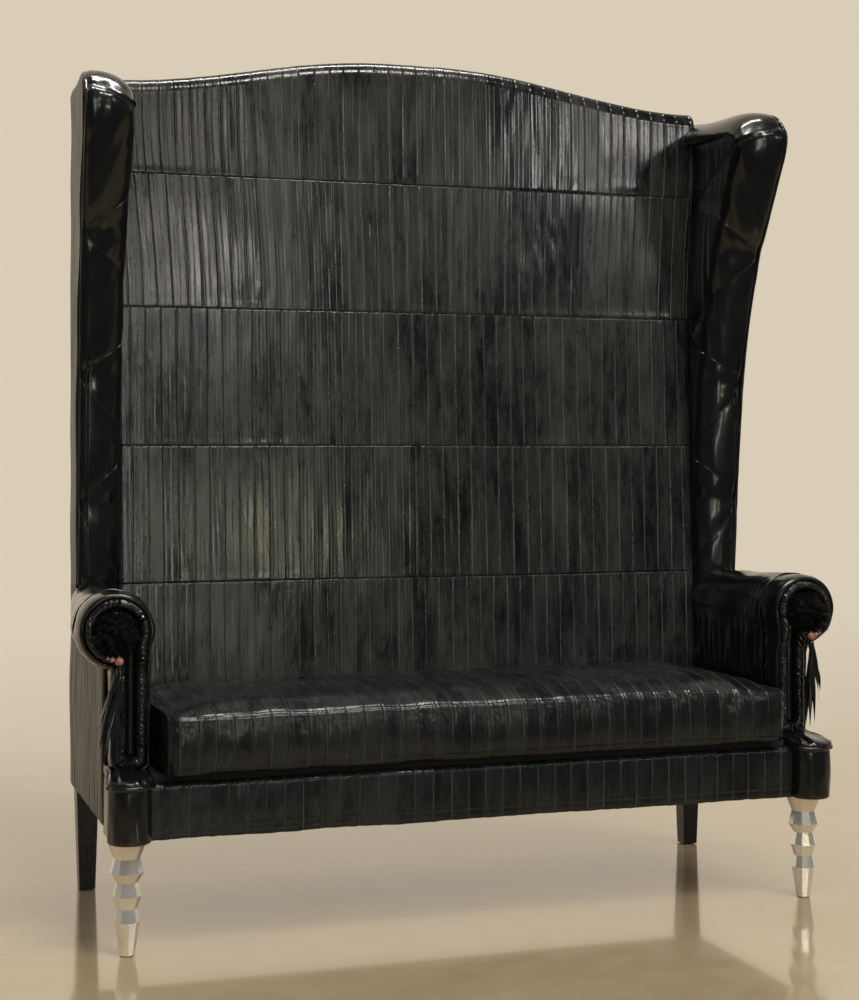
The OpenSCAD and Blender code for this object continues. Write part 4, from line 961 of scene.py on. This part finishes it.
def base_round(mirrored):
    """The column over the leg and the shoulder that slopes up and back to the arm's stem."""
    seed = 1300 + mirrored
    cx, cy = 0.76, LEG_Y - 0.030
    angles = np.radians(np.linspace(180, 360, 73))
    side = np.linspace(1, 0, 12)[:-1]
    plan = [(-1.0, 0.0, t) for t in side] + [(math.cos(a), math.sin(a), 0.0) for a in angles]
    plan = np.array(plan + [(1.0, 0.0, t) for t in side[::-1]])
    # The profile: radius, height, and how far the round front has moved back
    profile = [(0.030, 0.2305, 0), (0.036, 0.2290, 0), (0.0405, 0.2298, 0), (0.0432, 0.2325, 0),
               (0.0440, 0.2370, 0)]
    profile += [(0.0440 + 0.0006 * math.sin(math.pi * s), z, 0) for s, z in
                zip(np.linspace(0, 1, 14), np.linspace(0.241, 0.333, 14))]
    profile += [(0.0438, 0.3365, 0), (0.0442, 0.3385, 0)]
    profile += [(0.0462 + 0.0042 * math.cos(a), 0.3425 + 0.0042 * math.sin(a), 0)
                for a in np.radians(np.arange(-70, 91, 20))]
    profile += [(0.0468, 0.3472, 0)]
    for a in np.radians(np.arange(8, 91, 4)):
        w = 0.0335 + 0.0145 * math.cos(a)
        profile.append((w, 0.3476 + 0.0160 * math.sin(a), w - 0.048 + 0.075 * (1 - math.cos(a)) ** 1.15))
    # Closing rows that run in below the arm's front
    profile += [(0.0335, 0.3636 + 0.0050 * s, 0.0605 + 0.045 * s) for s in np.linspace(0, 1, 8)[1:]]
    prof = np.array(profile)
    run = travel(prof[:, :2])
    p = np.zeros((len(prof), len(plan), 3))
    back = np.maximum(plan[:, 2] * 1.0, 0)
    for i, (r, z, shift) in enumerate(prof):
        centre = cy + shift
        width = np.where(plan[:, 0] > 0, lerp(r, min(r, 0.034), smooth(back * 2.5)), r)
        p[i, :, 0] = cx + plan[:, 0] * width
        p[i, :, 1] = lerp(centre + plan[:, 1] * r, SEAM_Y, back)
        p[i, :, 2] = z
    n = normals(p)
    turn = travel(p[6])
    dome = smooth((p[..., 2] - 0.349) / 0.006)
    lip = bell(p[..., 2] - 0.3425, 0.006)
    drape = pair(turn[None, :], run[:, None])
    relief = 0.0014 * dome * rough(drape, 0.018, seed, (1, 2.2))
    relief = relief + 0.0009 * rough(drape, 0.03, seed + 2, (1, 3))
    relief = relief + 0.0008 * lip * rough(drape, 0.012, seed + 4, (1, 9))
    relief = relief * smooth((1 - back) / 0.1)
    q = p + n * relief[..., None]
    q[..., 2] = np.where(p[..., 2] < 0.2375, p[..., 2], q[..., 2])
    skin("base_round", q, drape, PATENT, ["base_cover"], depth=0.002, mirrored=mirrored)


def rail_strips():
    """The padded strips over the front rail."""
    edges = strip_edges(-0.7415, 0.7415, PITCH, 1400, 0.05)
    x, u, off = strip_columns(edges)
    line = [(0.0070, 0.2375), (0.0040, 0.2300), (-0.0060, 0.2292), (-0.0150, 0.2291), (-0.0205, 0.2294),
            (-0.0235, 0.2310), (-0.0246, 0.2340)]
    line += [(-0.0252 - 0.0012 * math.sin(math.pi * s), 0.2360 + 0.0925 * s) for s in np.linspace(0, 1, 34)]
    line += [(-0.0132 - 0.0120 * math.cos(a), 0.3290 + 0.0120 * math.sin(a))
             for a in np.radians(np.arange(8, 91, 9))]
    line += [(-0.0080, 0.3412), (-0.0005, 0.3412), (0.0070, 0.3412)]
    line = np.array(line) + [LEG_Y, 0]
    p = np.zeros((len(line), len(x), 3))
    p[..., 0] = x
    p[..., 1:] = line[:, None, :]
    run = travel(line)
    n = normals(p)
    relief = strip_relief(off, u)[None, :] + 0.0011 * rough(p, 0.2, 1410)
    relief = relief + 0.0005 * rough(p, 0.03, 1420, (1, 1, 2))
    relief = relief - 0.0012 * bell(p[..., 2] - 0.2480, 0.0018) + 0.0006 * bell(p[..., 2] - 0.2515, 0.002)
    edge_roll = bell(p[..., 2] - 0.338, 0.008)
    relief = relief + 0.0007 * edge_roll * rough(np.stack([p[..., 0], p[..., 2]], -1), 0.012, 1430, (1, 3))
    q = p + n * relief[..., None]
    skin("rail_strips", q, pair(u[None, :], run[:, None]), SHADED_SEAT_STRIPS, ["front_border"],
         depth=0.0035)


# The loose cushion

CUSHION_HALF = 0.692
CUSHION_SEWN = 0.6905
CUSHION_Y0, CUSHION_Y1 = -0.3185, 0.1545
CUSHION_Z0 = 0.3575
EDGE_Z = 0.4753
CORNER = 0.024


def cushion_loop(x, rings):
    """A closed loop of the cushion in y and z at x, from the bottom's rear round the front."""
    past = max(0.0, abs(x) - (CUSHION_HALF - CORNER))
    cut = CORNER - math.sqrt(max(CORNER ** 2 - past ** 2, 0.0))
    drawn = 0.007 * max(0.0, 1 - (x / (CUSHION_HALF - CORNER)) ** 2)
    y0, y1 = CUSHION_Y0 + drawn + cut, CUSHION_Y1 - drawn - cut
    end = CUSHION_HALF - abs(x)
    rise_x = 1 - math.exp(-(end + 0.002) / 0.05)
    a, b, c, d, e, f = rings
    pts = []
    for s in np.linspace(0, 1, a, endpoint=False):
        pts.append((lerp(y1 - 0.012, y0 + 0.012, s), CUSHION_Z0))
    for t in np.linspace(0, math.pi / 2, b, endpoint=False):
        pts.append((y0 + 0.012 - 0.012 * math.sin(t), CUSHION_Z0 + 0.012 * (1 - math.cos(t))))
    for s in np.linspace(0, 1, c, endpoint=False):
        z = lerp(CUSHION_Z0 + 0.012, EDGE_Z - 0.011, s)
        pts.append((y0 - 0.0055 * math.sin(math.pi * s) ** 0.8, z))
    for t in np.linspace(0, math.pi / 2, d, endpoint=False):
        pts.append((y0 + 0.012 * (1 - math.cos(t)), EDGE_Z - 0.011 + 0.011 * math.sin(t)))
    for s in np.linspace(0, 1, e, endpoint=False):
        y = lerp(y0 + 0.012, y1 - 0.012, s)
        near = min(y - y0, y1 - y)
        rise = (1 - math.exp(-max(near - 0.008, 0) / 0.05)) * rise_x
        pts.append((y, EDGE_Z + 0.0225 * rise))
    for s in np.linspace(0, 1, f, endpoint=False):
        pts.append((y1 - 0.002 * (s < 0.05), lerp(EDGE_Z - 0.004, CUSHION_Z0 + 0.008, s)))
    return np.array(pts)


def cushion_grid(xs, rings):
    return np.array([np.column_stack([np.full(sum(rings), x), cushion_loop(x, rings)]) for x in xs])


COARSE = (20, 3, 12, 4, 34, 10)
FINE = (24, 5, 40, 12, 78, 16)


def inflate(xs):
    """Fills the cushion by a cloth simulation and returns how far its points move."""
    p = cushion_grid(xs, COARSE)
    rows, cols = p.shape[:2]
    verts = p.reshape(-1, 3)
    faces = [tuple(int(i) for i in f[::-1]) for f in grid_faces(rows, cols, True)]
    first = tuple(range(cols))
    last = tuple(i + (rows - 1) * cols for i in first)
    mesh = bpy.data.meshes.new("fill")
    mesh.from_pydata(verts.tolist(), [], faces + [first, last[::-1]])
    obj = bpy.data.objects.new("fill", mesh)
    scene = bpy.context.scene
    scene.collection.objects.link(obj)
    mod = obj.modifiers.new("cloth", "CLOTH")
    cloth = mod.settings
    cloth.quality = 6
    cloth.mass = 0.4
    cloth.tension_stiffness = 30
    cloth.compression_stiffness = 12
    cloth.shear_stiffness = 10
    cloth.bending_stiffness = 0.6
    cloth.use_pressure = True
    cloth.uniform_pressure_force = 4.0
    cloth.effector_weights.gravity = 0.0
    mod.collision_settings.use_collision = False
    mod.point_cache.frame_start = 1
    mod.point_cache.frame_end = 20
    for k in range(1, 21):
        scene.frame_set(k)
    done = obj.evaluated_get(bpy.context.evaluated_depsgraph_get())
    moved = np.empty(len(verts) * 3)
    done.data.vertices.foreach_get("co", moved)
    shift = moved.reshape(-1, 3) - verts
    size = np.linalg.norm(shift, axis=1, keepdims=True)
    shift = shift * np.minimum(1, 0.012 / np.maximum(size, 1e-9))
    bpy.data.objects.remove(obj)
    scene.frame_set(1)
    return shift.reshape(rows, cols, 3)


def seat_leather():
    edges = strip_edges(-CUSHION_SEWN, CUSHION_SEWN, PITCH, 1500, 0.04)
    x, u, off = strip_columns(edges)
    p = cushion_grid(x, FINE)
    end_x = np.array([CUSHION_SEWN, 0.686, 0.678])
    coarse_x = np.concatenate([-end_x, np.linspace(-0.665, 0.665, 100), end_x[::-1]])
    shift = inflate(coarse_x)
    # Spreads the coarse shift over the fine grid, segment by segment round the loop
    places, start = [], 0
    for big, small in zip(FINE, COARSE):
        places += [start + small * k / big for k in range(big)]
        start += small
    cols = shift.shape[1]
    at = np.array(places)
    lo = np.floor(at).astype(int)
    w = (at - lo)[None, :, None]
    round_loop = shift[:, lo % cols] * (1 - w) + shift[:, (lo + 1) % cols] * w
    rows = np.interp(x, coarse_x, np.arange(len(coarse_x)))
    lo = np.minimum(np.floor(rows).astype(int), len(coarse_x) - 2)
    w = (rows - lo)[:, None, None]
    p = p + 0.6 * (round_loop[lo] * (1 - w) + round_loop[lo + 1] * w)
    n = normals(p, around=True)
    run = travel(p, 1)
    y, z = p[..., 1], p[..., 2]
    relief = strip_relief(off, u, 0.0011, 0.0008, 0.0006)[:, None] + 0 * run
    front = smooth((-0.22 - y) / 0.06)
    top_edge = np.hypot(y - (CUSHION_Y0 + 0.008), z - EDGE_Z)
    low_seam = np.abs(z - (CUSHION_Z0 + 0.013)) + 9 * (y > -0.26)
    relief = relief - 0.0016 * bell(top_edge, 0.0025) + 0.0009 * bell(top_edge - 0.0055, 0.0028)
    relief = relief - 0.0018 * bell(low_seam, 0.0018) + 0.0009 * bell(low_seam - 0.0035, 0.0018)
    flat = np.stack([p[..., 0], run], -1)
    turned = flat @ np.array([[0.81, -0.59], [0.59, 0.81]])
    band = bell(z - 0.452, 0.016) * (y < -0.285)
    patchy = 0.45 + 0.55 * smooth(rough(flat, 0.16, 1510) + 0.5)
    relief = relief + 0.0010 * band * patchy * rough(turned, 0.0100, 1520, (1, 5))
    relief = relief + 0.0002 * band * rough(flat, 0.006, 1530, (1, 2))
    on_top = smooth((z - 0.470) / 0.008)
    relief = relief + 0.0021 * rough(flat, 0.14, 1540)
    relief = relief + 0.0005 * on_top * rough(turned, 0.05, 1550, (1, 2.2))
    relief = relief + 0.0002 * on_top * front * rough(flat, 0.02, 1560, (1, 2))
    relief = relief + 0.0003 * front * (1 - on_top) * rough(turned, 0.03, 1570, (1, 2.5))
    rumple = smooth((rough(flat, 0.13, 1580) - 0.45) / 0.4) * on_top
    relief = relief + 0.0004 * rumple * rough(flat, 0.014, 1590, (1, 1.5))
    q = p + n * relief[..., None]
    q[..., 2] = np.maximum(q[..., 2], DECK_Z + 0.0004)
    q[..., 0] = np.clip(q[..., 0], -0.6985, 0.6985)
    shape = Shape()
    shape.grid(q, np.stack([u[:, None] + 0 * run, run], -1), around=True, flip=True)
    # The two ends, closed by loops that shrink towards the middle
    for row, sign in ((0, -1), (len(x) - 1, 1)):
        loop = q[row]
        core = np.column_stack([loop[:, 0], np.clip(loop[:, 1], CUSHION_Y0 + 0.11, CUSHION_Y1 - 0.11),
                                np.full(len(loop), 0.416)])
        rows = []
        for s in np.linspace(0, 1, 12):
            ring = lerp(loop, core, s * 0.96)
            ring[:, 0] += sign * 0.006 * math.sin(math.pi / 2 * s) ** 0.8
            rows.append(ring)
        rows = np.array(rows)
        rows[..., 0] += 0.0012 * rough(rows, 0.06, 1600 + row) * np.linspace(0, 1, 12)[:, None]
        uv = np.stack([rows[..., 1] / PITCH, rows[..., 2]], -1)
        shape.grid(rows, uv, around=True, flip=sign < 0)
    shape.build("seat_leather", SHADED_SEAT_STRIPS, ["cushion_cover", "cushion_core", "cushion_zip_panel"],
                body="seat_cushion")


def seat_deck():
    """The black pad over the seat's webbing, with two stitched rows."""
    half, y0, y1, z0, z1 = 0.7074, -0.2669, 0.1483, 0.3366, 0.3566
    xs = spaced(-half, half, 0.012)
    bend = 0.006
    turn = np.radians([20, 40, 60, 80])
    sheet = [(lerp(y1, y0, t), z0) for t in np.linspace(0, 1, 12)]
    sheet += [(y0, lerp(z0, z1 - bend, t)) for t in np.linspace(0.2, 1, 4)]
    sheet += [(y0 + bend * (1 - math.cos(a)), z1 - bend * (1 - math.sin(a))) for a in turn]
    sheet += [(lerp(y0 + 0.008, y1 - 0.008, t), z1) for t in np.linspace(0, 1, 60)]
    sheet += [(y1 - bend * (1 - math.sin(a)), z1 - bend * (1 - math.cos(a))) for a in turn]
    sheet += [(y1, lerp(z1 - bend, z0, t)) for t in np.linspace(0.2, 0.9, 4)]
    sheet = np.array(sheet)
    p = np.array([np.column_stack([np.full(len(sheet), x), sheet]) for x in xs])
    on_top = smooth((p[..., 2] - z1 + 0.002) / 0.002)
    stitched = bell(p[..., 1] + 0.16, 0.004) + bell(p[..., 1] - 0.06, 0.004)
    p[..., 2] -= on_top * (0.0006 * (1 + rough(p, 0.07, 1650)) + 0.0022 * stitched)
    shape = Shape()
    shape.grid(p, p[..., :2], around=True, flip=True, ends=True)
    shape.build("deck_pad", BLACK_CLOTH, ["seat_deck"])


# The back of the sofa

def dust_cloth():
    """Cloth that is stapled under the frame and sags a little, cut round the legs."""
    half, y0, y1 = 0.7775, -0.2645, 0.2960
    xs = np.unique(np.concatenate([np.linspace(-half, half, 161), [-0.7405, 0.7405, -0.725, 0.725]]))
    ys = np.unique(np.concatenate([np.linspace(y0, y1, 60), [-0.2400, 0.2800]]))
    xx, yy = np.meshgrid(xs, ys)
    edge = np.minimum.reduce([half - np.abs(xx), yy - y0, y1 - yy])
    p = np.stack([xx, yy, np.full(xx.shape, 0.2395)], -1)
    p[..., 2] -= 0.004 * (1 - np.exp(-((np.maximum(edge, 0) / 0.12) ** 2)))
    p[..., 2] -= 0.0006 * smooth(edge / 0.03) * (1 + rough(p, 0.05, 1660, (1, 2, 1)))
    rows, cols = xx.shape
    faces, area = [], 0.0
    for f in grid_faces(rows, cols):
        x, y = abs(xx.flat[f].mean()), yy.flat[f].mean()
        if (x > 0.7405 and y < -0.2400) or (x > 0.725 and y > 0.2800):
            continue
        faces.append(tuple(f))
        area += np.ptp(xx.flat[f]) * np.ptp(yy.flat[f])
    shape = Shape()
    shape.add(p, faces, p[..., :2])
    obj = shape.build("dust_cloth", BLACK_CLOTH, ["dust_cover"], depth=0.0006)


def panel_top(x):
    ax = np.abs(x)
    rim = 1.829 - 0.018 * ((np.maximum(ax, ARM_IN) - ARM_IN) / 0.084) ** 4
    return np.minimum(crest(x) - 0.018, np.where(ax > ARM_IN, rim, 9)) - 0.0063


def back_panel():
    half = 0.7855
    xs = np.concatenate([[-half], np.linspace(-half + 0.004, half - 0.004, 260), [half]])
    seams = [-0.39, 0.0, 0.39]
    zs = np.concatenate([[0.2415, 0.243, 0.246], np.linspace(0.25, 1.0, 120)])
    share = (zs - zs[0]) / (zs[-1] - zs[0])
    top = panel_top(xs)
    zz = zs[0] + share[:, None] * (top - zs[0])
    p = np.stack([xs + 0 * zz, np.full(zz.shape, 0.3400), zz], -1)
    relief = 0.0012 * rough(p, 0.4, 1700) + 0.0004 * rough(p, 0.06, 1710, (1, 1, 2))
    for s in seams:
        relief = relief - 0.0016 * bell(xs - s, 0.004) + 0.0006 * bell(np.abs(xs - s) - 0.009, 0.004)
    edge = np.minimum.reduce([half - np.abs(xs) + 0 * zz, top - zz, zz - zs[0]])
    relief = relief - 0.006 * bell(edge, 0.006)
    q = p + np.array([0, 1.0, 0]) * relief[..., None]
    q[..., 1] = np.minimum(q[..., 1], 0.3429)
    skin("back_panel", q, np.stack([xs + 0 * zz, zz], -1), PLAIN, ["outer_back"], depth=0.010, flip=True)


def back_cord():
    half = 0.7857
    xs = np.linspace(-half, half, 240)
    line = [(-half - 0.0033, z) for z in np.linspace(0.300, 1.788, 60)]
    line += [(x, float(panel_top(np.array(x))) + 0.0036) for x in xs[3:-3]]
    line += [(half + 0.0033, z) for z in np.linspace(1.788, 0.300, 60)]
    path = smooth_path(np.array([(x, PANEL_Y0 + 0.0033, z) for x, z in line]), 3)
    shape = Shape()
    add_tube(shape, resample(path, 420), 0.003)
    shape.build("back_cord", CORD, ["back_piping"])


# Ornaments

def fur(mirrored):
    """A rosette of fine tapered hairs in tufts over a small core."""
    rng = np.random.default_rng(1800 + mirrored)
    centre = np.array([ROLL_X, -0.2345, ROLL_Z - 0.003])
    shape = Shape()
    polar = np.linspace(0, 100, 10)
    turn = np.radians(np.linspace(0, 360, 28, endpoint=False))
    core = []
    for a in np.radians(polar):
        r = 0.034
        core.append([(centre[0] + r * math.sin(a) * math.cos(t), centre[1] - r * 0.95 * math.cos(a),
                      centre[2] + r * math.sin(a) * math.sin(t)) for t in turn])
    shape.grid(np.array(core), around=True, flip=True)
    tufts = 74
    k = np.arange(tufts) + 0.5
    z = 1 - 1.15 * k / tufts
    t = math.pi * (1 + 5 ** 0.5) * k
    rad = np.sqrt(np.maximum(0, 1 - z * z))
    heads = np.stack([rad * np.cos(t), -z, rad * np.sin(t)], -1) + rng.normal(scale=0.05, size=(tufts, 3))
    heads = unit(heads)
    count = 4000
    own = rng.integers(0, tufts, count)
    around = 3
    rings = 4
    ways = unit(heads[own] + rng.normal(scale=0.20, size=(count, 3)))
    base = centre + ways * rng.uniform(0.026, 0.033, (count, 1)) * np.array([1, 0.95, 1])
    outer = smooth(heads[:, 0] / 0.5)
    top = np.where(heads[:, 2] > 0, 0.047, 0.049)
    length = top + 0.013 * outer + rng.normal(scale=0.0035, size=tufts)
    reach = length[own][:, None] * rng.uniform(0.86, 1.0, (count, 1))
    tip = centre + (0.93 * heads[own] + 0.07 * ways) * reach
    tip = tip + np.array([0.003, 0, -0.005]) * outer[own][:, None]
    tip[:, 1] = np.maximum(tip[:, 1], centre[1] - 0.0570)
    swirl = rng.normal(scale=0.0020, size=(count, 3))
    ss = np.linspace(0, 1, rings + 1)
    droop = np.array([0, 0, -0.002])
    pos = [base + (tip - base) * s + swirl * math.sin(math.pi * s) + droop * s * s for s in ss]
    width = rng.uniform(0.00042, 0.00075, (count, 1))
    side = unit(np.cross(tip - base, rng.normal(size=(count, 3))))
    up = unit(np.cross(tip - base, side))
    verts = []
    for i in range(rings):
        w = width * (1 - (ss[i]) ** 1.6 * 0.75)
        for j in range(around):
            a = 2 * math.pi * j / around
            verts.append(pos[i] + w * (math.cos(a) * side + math.sin(a) * up))
    verts.append(pos[rings])
    per = len(verts)
    verts = np.stack(verts, axis=1).reshape(-1, 3)
    pattern = []
    for i in range(rings - 1):
        for j in range(around):
            b, c = i * around + j, i * around + (j + 1) % around
            pattern.append((b, c, c + around, b + around))
    last = (rings - 1) * around
    tri = [(last + j, last + (j + 1) % around, per - 1) for j in range(around)]
    faces = []
    for h in range(count):
        o = h * per
        faces += [tuple(o + i for i in f) for f in pattern + tri]
    shape.add(verts, faces)
    shape.build("fur_rosette", FUR, ["rosette"], mirrored=mirrored)


BEAD_Y, BEAD_Z = -0.2711, 0.58472


def thread(shape, z0, z1, count):
    """The thread that carries the bead or the tassel."""
    add_tube(shape, np.array([(ROLL_X, BEAD_Y, z) for z in np.linspace(z0, z1, count)]), 0.0009, 8)


def ball(shape, centre, radius, squash=0.94, segments=24):
    polar = np.radians(np.linspace(2, 178, segments // 2 + 1))
    turn = np.radians(np.linspace(0, 360, segments, endpoint=False))
    rows = [[(centre[0] + radius * math.sin(a) * math.cos(t), centre[1] + radius * math.sin(a) * math.sin(t),
              centre[2] + radius * squash * math.cos(a)) for t in turn] for a in polar]
    shape.grid(np.array(rows), around=True, flip=True, ends=True)


def bead_drop(mirrored):
    shape = Shape()
    ball(shape, (ROLL_X, BEAD_Y, BEAD_Z), 0.0088)
    thread(shape, BEAD_Z + 0.007, 0.5965, 6)
    shape.build("bead_drop", PINK_BEAD, ["bead"], mirrored=mirrored, body="bead{}_body")
    for name, material, (dx, dy, dz), radius in (("bead_small", PINK_BEAD, (0.0135, 0.002, 0.0035), 0.0052),
                                                 ("bead_grey", GREY_BEAD, (0.0225, 0.003, 0.0065), 0.0042)):
        shape = Shape()
        ball(shape, (ROLL_X + dx, BEAD_Y + dy, BEAD_Z + dz), radius)
        shape.build(name, material, mirrored=mirrored, body="bead{}_body")


THONGS_LEFT = [(24, 0.128, 1.3), (17, 0.160, 0.9), (12, 0.182, 0.4), (7, 0.172, 0.2), (2, 0.184, 0.1),
               (-2, 0.165, -0.3), (9, 0.125, 0.9), (-5, 0.105, -0.5), (15, 0.100, 1.2), (4, 0.150, -0.2)]
THONGS_RIGHT = [(-3, 0.182, 0.1), (-6, 0.176, 0.05), (1, 0.172, 0.2), (-5, 0.160, -0.1), (8, 0.128, 1.1),
                (13, 0.108, 1.7), (4, 0.150, 0.3), (-8, 0.120, -0.2), (-1, 0.184, -0.2), (-4, 0.100, 0.4)]


def thongs(mirrored):
    """Tapering leather thongs that hang below a bound knot."""
    rng = np.random.default_rng(1900 + mirrored)
    top = np.array([ROLL_X, BEAD_Y, 0.5660])
    shape = Shape()
    knot = [(ROLL_X, BEAD_Y, z) for z in np.linspace(0.5745, 0.5560, 12)]
    swell = [0.0035, 0.0052, 0.0062, 0.0066, 0.006, 0.0066, 0.0062, 0.0068, 0.0066, 0.0068, 0.006, 0.005]
    add_tube(shape, np.array(knot), swell, 16)
    thread(shape, 0.5793, 0.5735, 4)
    for k, (lean, length, curl) in enumerate(THONGS_LEFT if mirrored else THONGS_RIGHT):
        count = 34
        s = np.linspace(0, 1, count)
        a = math.radians(lean) * (1 - 0.35 * s) + 0.06 * curl * np.sin(s * 4)
        tilt = math.radians(rng.uniform(-2.5, 1.5))
        step = length / (count - 1)
        dx = np.concatenate([[0], np.cumsum(np.sin(a[1:]) * step)])
        dz = np.concatenate([[0], np.cumsum(np.cos(a[1:]) * step)])
        y = BEAD_Y + (k - 4.5) * 0.0015 + math.sin(tilt) * length * s + 0.002 * np.sin(s * 3 + k)
        line = np.stack([top[0] + dx + 0.0008 * (k - 3.5), y, top[2] - dz], -1)
        wide = 0.0058 * (0.5 + 0.75 * np.sin(np.pi * np.clip(s * 0.8 + 0.1, 0, 1))) * (1 - s ** 3) + 0.0003
        spin = rng.uniform(-0.4, 0.4) + curl * 1.1 * s + 0.4 * np.sin(3 * s + k)
        t = unit(np.gradient(line, axis=0))
        flat = np.stack([np.cos(spin), np.sin(spin), 0 * spin], -1)
        flat = unit(flat - (flat * t).sum(1, keepdims=True) * t)
        thick = np.cross(t, flat)
        section = [(-1, 0.0), (-0.8, 0.55), (-0.3, 0.95), (0.3, 0.95), (0.8, 0.55), (1, 0.0), (0.8, -0.45),
                   (0.3, -0.6), (-0.3, -0.6), (-0.8, -0.45)]
        rows = np.stack([line + flat * (wide * c)[:, None] + thick * (0.0010 * d * (1 - 0.7 * s))[:, None]
                         for c, d in section], axis=1)
        uv = pair(np.arange(len(section))[None, :] * 0.1 + k, (s * length)[:, None])
        shape.grid(rows, uv, around=True, ends=True)
    shape.build("thongs", THONG, ["tassel"], mirrored=mirrored, body="tassel{}_body")


# Everything is made here, the right side first
back_leather()
for left in (False, True):
    wing_quilt(left)
    wing_side(left)
    wing_cord(left)
    arm_roll(left)
    arm_scroll(left)
    scroll_gather(left)
    scroll_facing(left)
    side_strips(left)
    base_round(left)
    fur(left)
    bead_drop(left)
    thongs(left)
rail_strips()
seat_leather()
seat_deck()
back_panel()
back_cord()
dust_cloth()

# Solids that stay get the finish of their kind, by the start of their names
FINISHES = {"front_leg": SILVER, "back_leg": BLACK_WOOD, "leg_": STEEL, "corner_screws": STEEL,
            "glides": GLIDE, "wing_frame": PLYWOOD, "seat_webbing": WEBBING, "back_webbing": WEBBING,
            "seat_deck": BLACK_CLOTH, "dust_cover": BLACK_CLOTH, "cushion_core": FOAM, "back_foam": FOAM}


def node_material(name):
    found = [material for start, material in FINISHES.items() if name.startswith(start)]
    return found[0] if found else TIMBER


for name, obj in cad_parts.items():
    for k in range(len(obj.data.materials)):
        obj.data.materials[k] = node_material(name)
    if not obj.data.materials:
        obj.data.materials.append(node_material(name))
    if name.startswith(("front_leg", "back_leg")):
        bevel = obj.modifiers.new("edges", "BEVEL")
        bevel.width = 0.0006
        bevel.segments = 2
        bevel.limit_method = "ANGLE"
        bevel.angle_limit = math.radians(20)

# Floor
FLOOR_HALF, FLOOR_Y = 30.0, -1.4
floor_mesh = bpy.data.meshes.new("floor")
corners = [(x, y, 0) for x, y in ((-FLOOR_HALF, FLOOR_Y), (FLOOR_HALF, FLOOR_Y), (FLOOR_HALF, FLOOR_HALF),
                                  (-FLOOR_HALF, FLOOR_HALF))]
floor_mesh.from_pydata(corners, [], [(0, 1, 2, 3)])
floor = bpy.data.objects.new("floor", floor_mesh)
floor_mesh.materials.append(stone("pale_stone", (0.43, 0.325, 0.19), (0.52, 0.41, 0.27)))
bpy.context.scene.collection.objects.link(floor)

# World: a pale background for camera and mirror rays, dimmer in front of the sofa than behind it
world = bpy.data.worlds.new("studio")
bpy.context.scene.world = world
world.use_nodes = True
world.node_tree.nodes.clear()
w = Nodes(world.node_tree)
rays = w.node("LightPath").outputs
toward = w.node("SeparateXYZ", {0: w.node("TexCoord").outputs["Generated"]}).outputs
mirror = w.blend(w.spread(toward[1], -0.1, 0.7), (0.065, 0.075, 0.075), PALE)
sky = w.blend(w.spread(toward[2], 0.02, 0.55), (0.17, 0.135, 0.08), (0.62, 0.61, 0.6))
soft = w.blend(rays["Is Glossy Ray"], sky, mirror)
seen = w.math("MAXIMUM", rays["Is Camera Ray"], rays["Is Transmission Ray"])
background = w.node("Background", {"Color": w.blend(seen, soft, PALE)})
w.node("OutputWorld", {"Surface": background.outputs[0]})


def lamp(name, place, aim, size, power, colour=(1, 0.96, 0.9)):
    data = bpy.data.lights.new(name, "AREA")
    data.shape = "RECTANGLE"
    data.size, data.size_y = size
    data.energy = power
    data.color = colour
    obj = bpy.data.objects.new(name, data)
    obj.location = place
    away = np.array(aim) - np.array(place)
    obj.rotation_euler = (math.acos(-away[2] / np.linalg.norm(away)), 0, math.atan2(-away[0], away[1]))
    bpy.context.scene.collection.objects.link(obj)
    return obj


# Lamps that the leather mirrors, on one plane before the sofa
WINDOW_Y = -4.2
lamp("low_window", (0.50, WINDOW_Y, 1.02), (0, 0, 0.9), (0.22, 0.28), 4.2, (1, 0.97, 0.66))
lamp("high_window", (0.20, WINDOW_Y, 2.28), (0, 0, 1.2), (0.36, 0.36), 6.5, (1, 0.94, 0.88))
lamp("upper_window", (0.14, WINDOW_Y, 2.95), (0, 0, 1.2), (0.36, 0.30), 2.8, (1, 0.92, 0.85))
lamp("right_window", (2.90, WINDOW_Y, 3.02), (0.2, 0, 1.2), (0.55, 0.30), 13, (1, 0.95, 0.92))
strip = lamp("strip_window", (-0.62, WINDOW_Y, 1.3), (-0.6, 0, 1.3), (0.06, 2.4), 14)
front_glint = lamp("overhead", (0.6, -2.6, 4.4), (0, 0, 0.9), (1.1, 0.3), 58)
front_glint.visible_diffuse = False
top_glint = lamp("ceiling", (0.1, 0.1, 4.6), (0.1, 0, 0.9), (2.6, 0.16), 115)
top_glint.visible_diffuse = False
lamp("top_fill", (0.2, -2.4, 4.3), (0, 0, 1.2), (1.6, 1.0), 46).visible_glossy = False

# The floor doesn't mirror the lamps that draw thin lights along the leather
floor_only = bpy.data.collections.new("floor_only")
floor_only.objects.link(floor)
floor_only.collection_objects[0].light_linking.link_state = "EXCLUDE"
for glint in (strip, front_glint, top_glint):
    glint.light_linking.receiver_collection = floor_only

# A wide soft key light that shapes the shadows and isn't mirrored in the leather
sun_data = bpy.data.lights.new("key", "SUN")
sun_data.energy = 1.2
sun_data.angle = math.radians(35)
sun_data.color = (1, 0.95, 0.88)
sun = bpy.data.objects.new("key", sun_data)
sun.rotation_euler = (math.radians(42), 0, math.radians(28))
sun.visible_glossy = False
bpy.context.scene.collection.objects.link(sun)

# Camera
cam_data = bpy.data.cameras.new("camera")
cam_data.lens = 66.09
cam_data.sensor_width = 36
cam_data.shift_y = -0.0546
cam_data.clip_end = 60
camera = bpy.data.objects.new("camera", cam_data)
camera.location = (-1.3426, -3.9154, 1.0137)
camera.rotation_euler = (math.pi / 2, 0, -math.radians(18.424))
bpy.context.scene.collection.objects.link(camera)
bpy.context.scene.camera = camera
bpy.context.scene.view_settings.view_transform = "Standard"
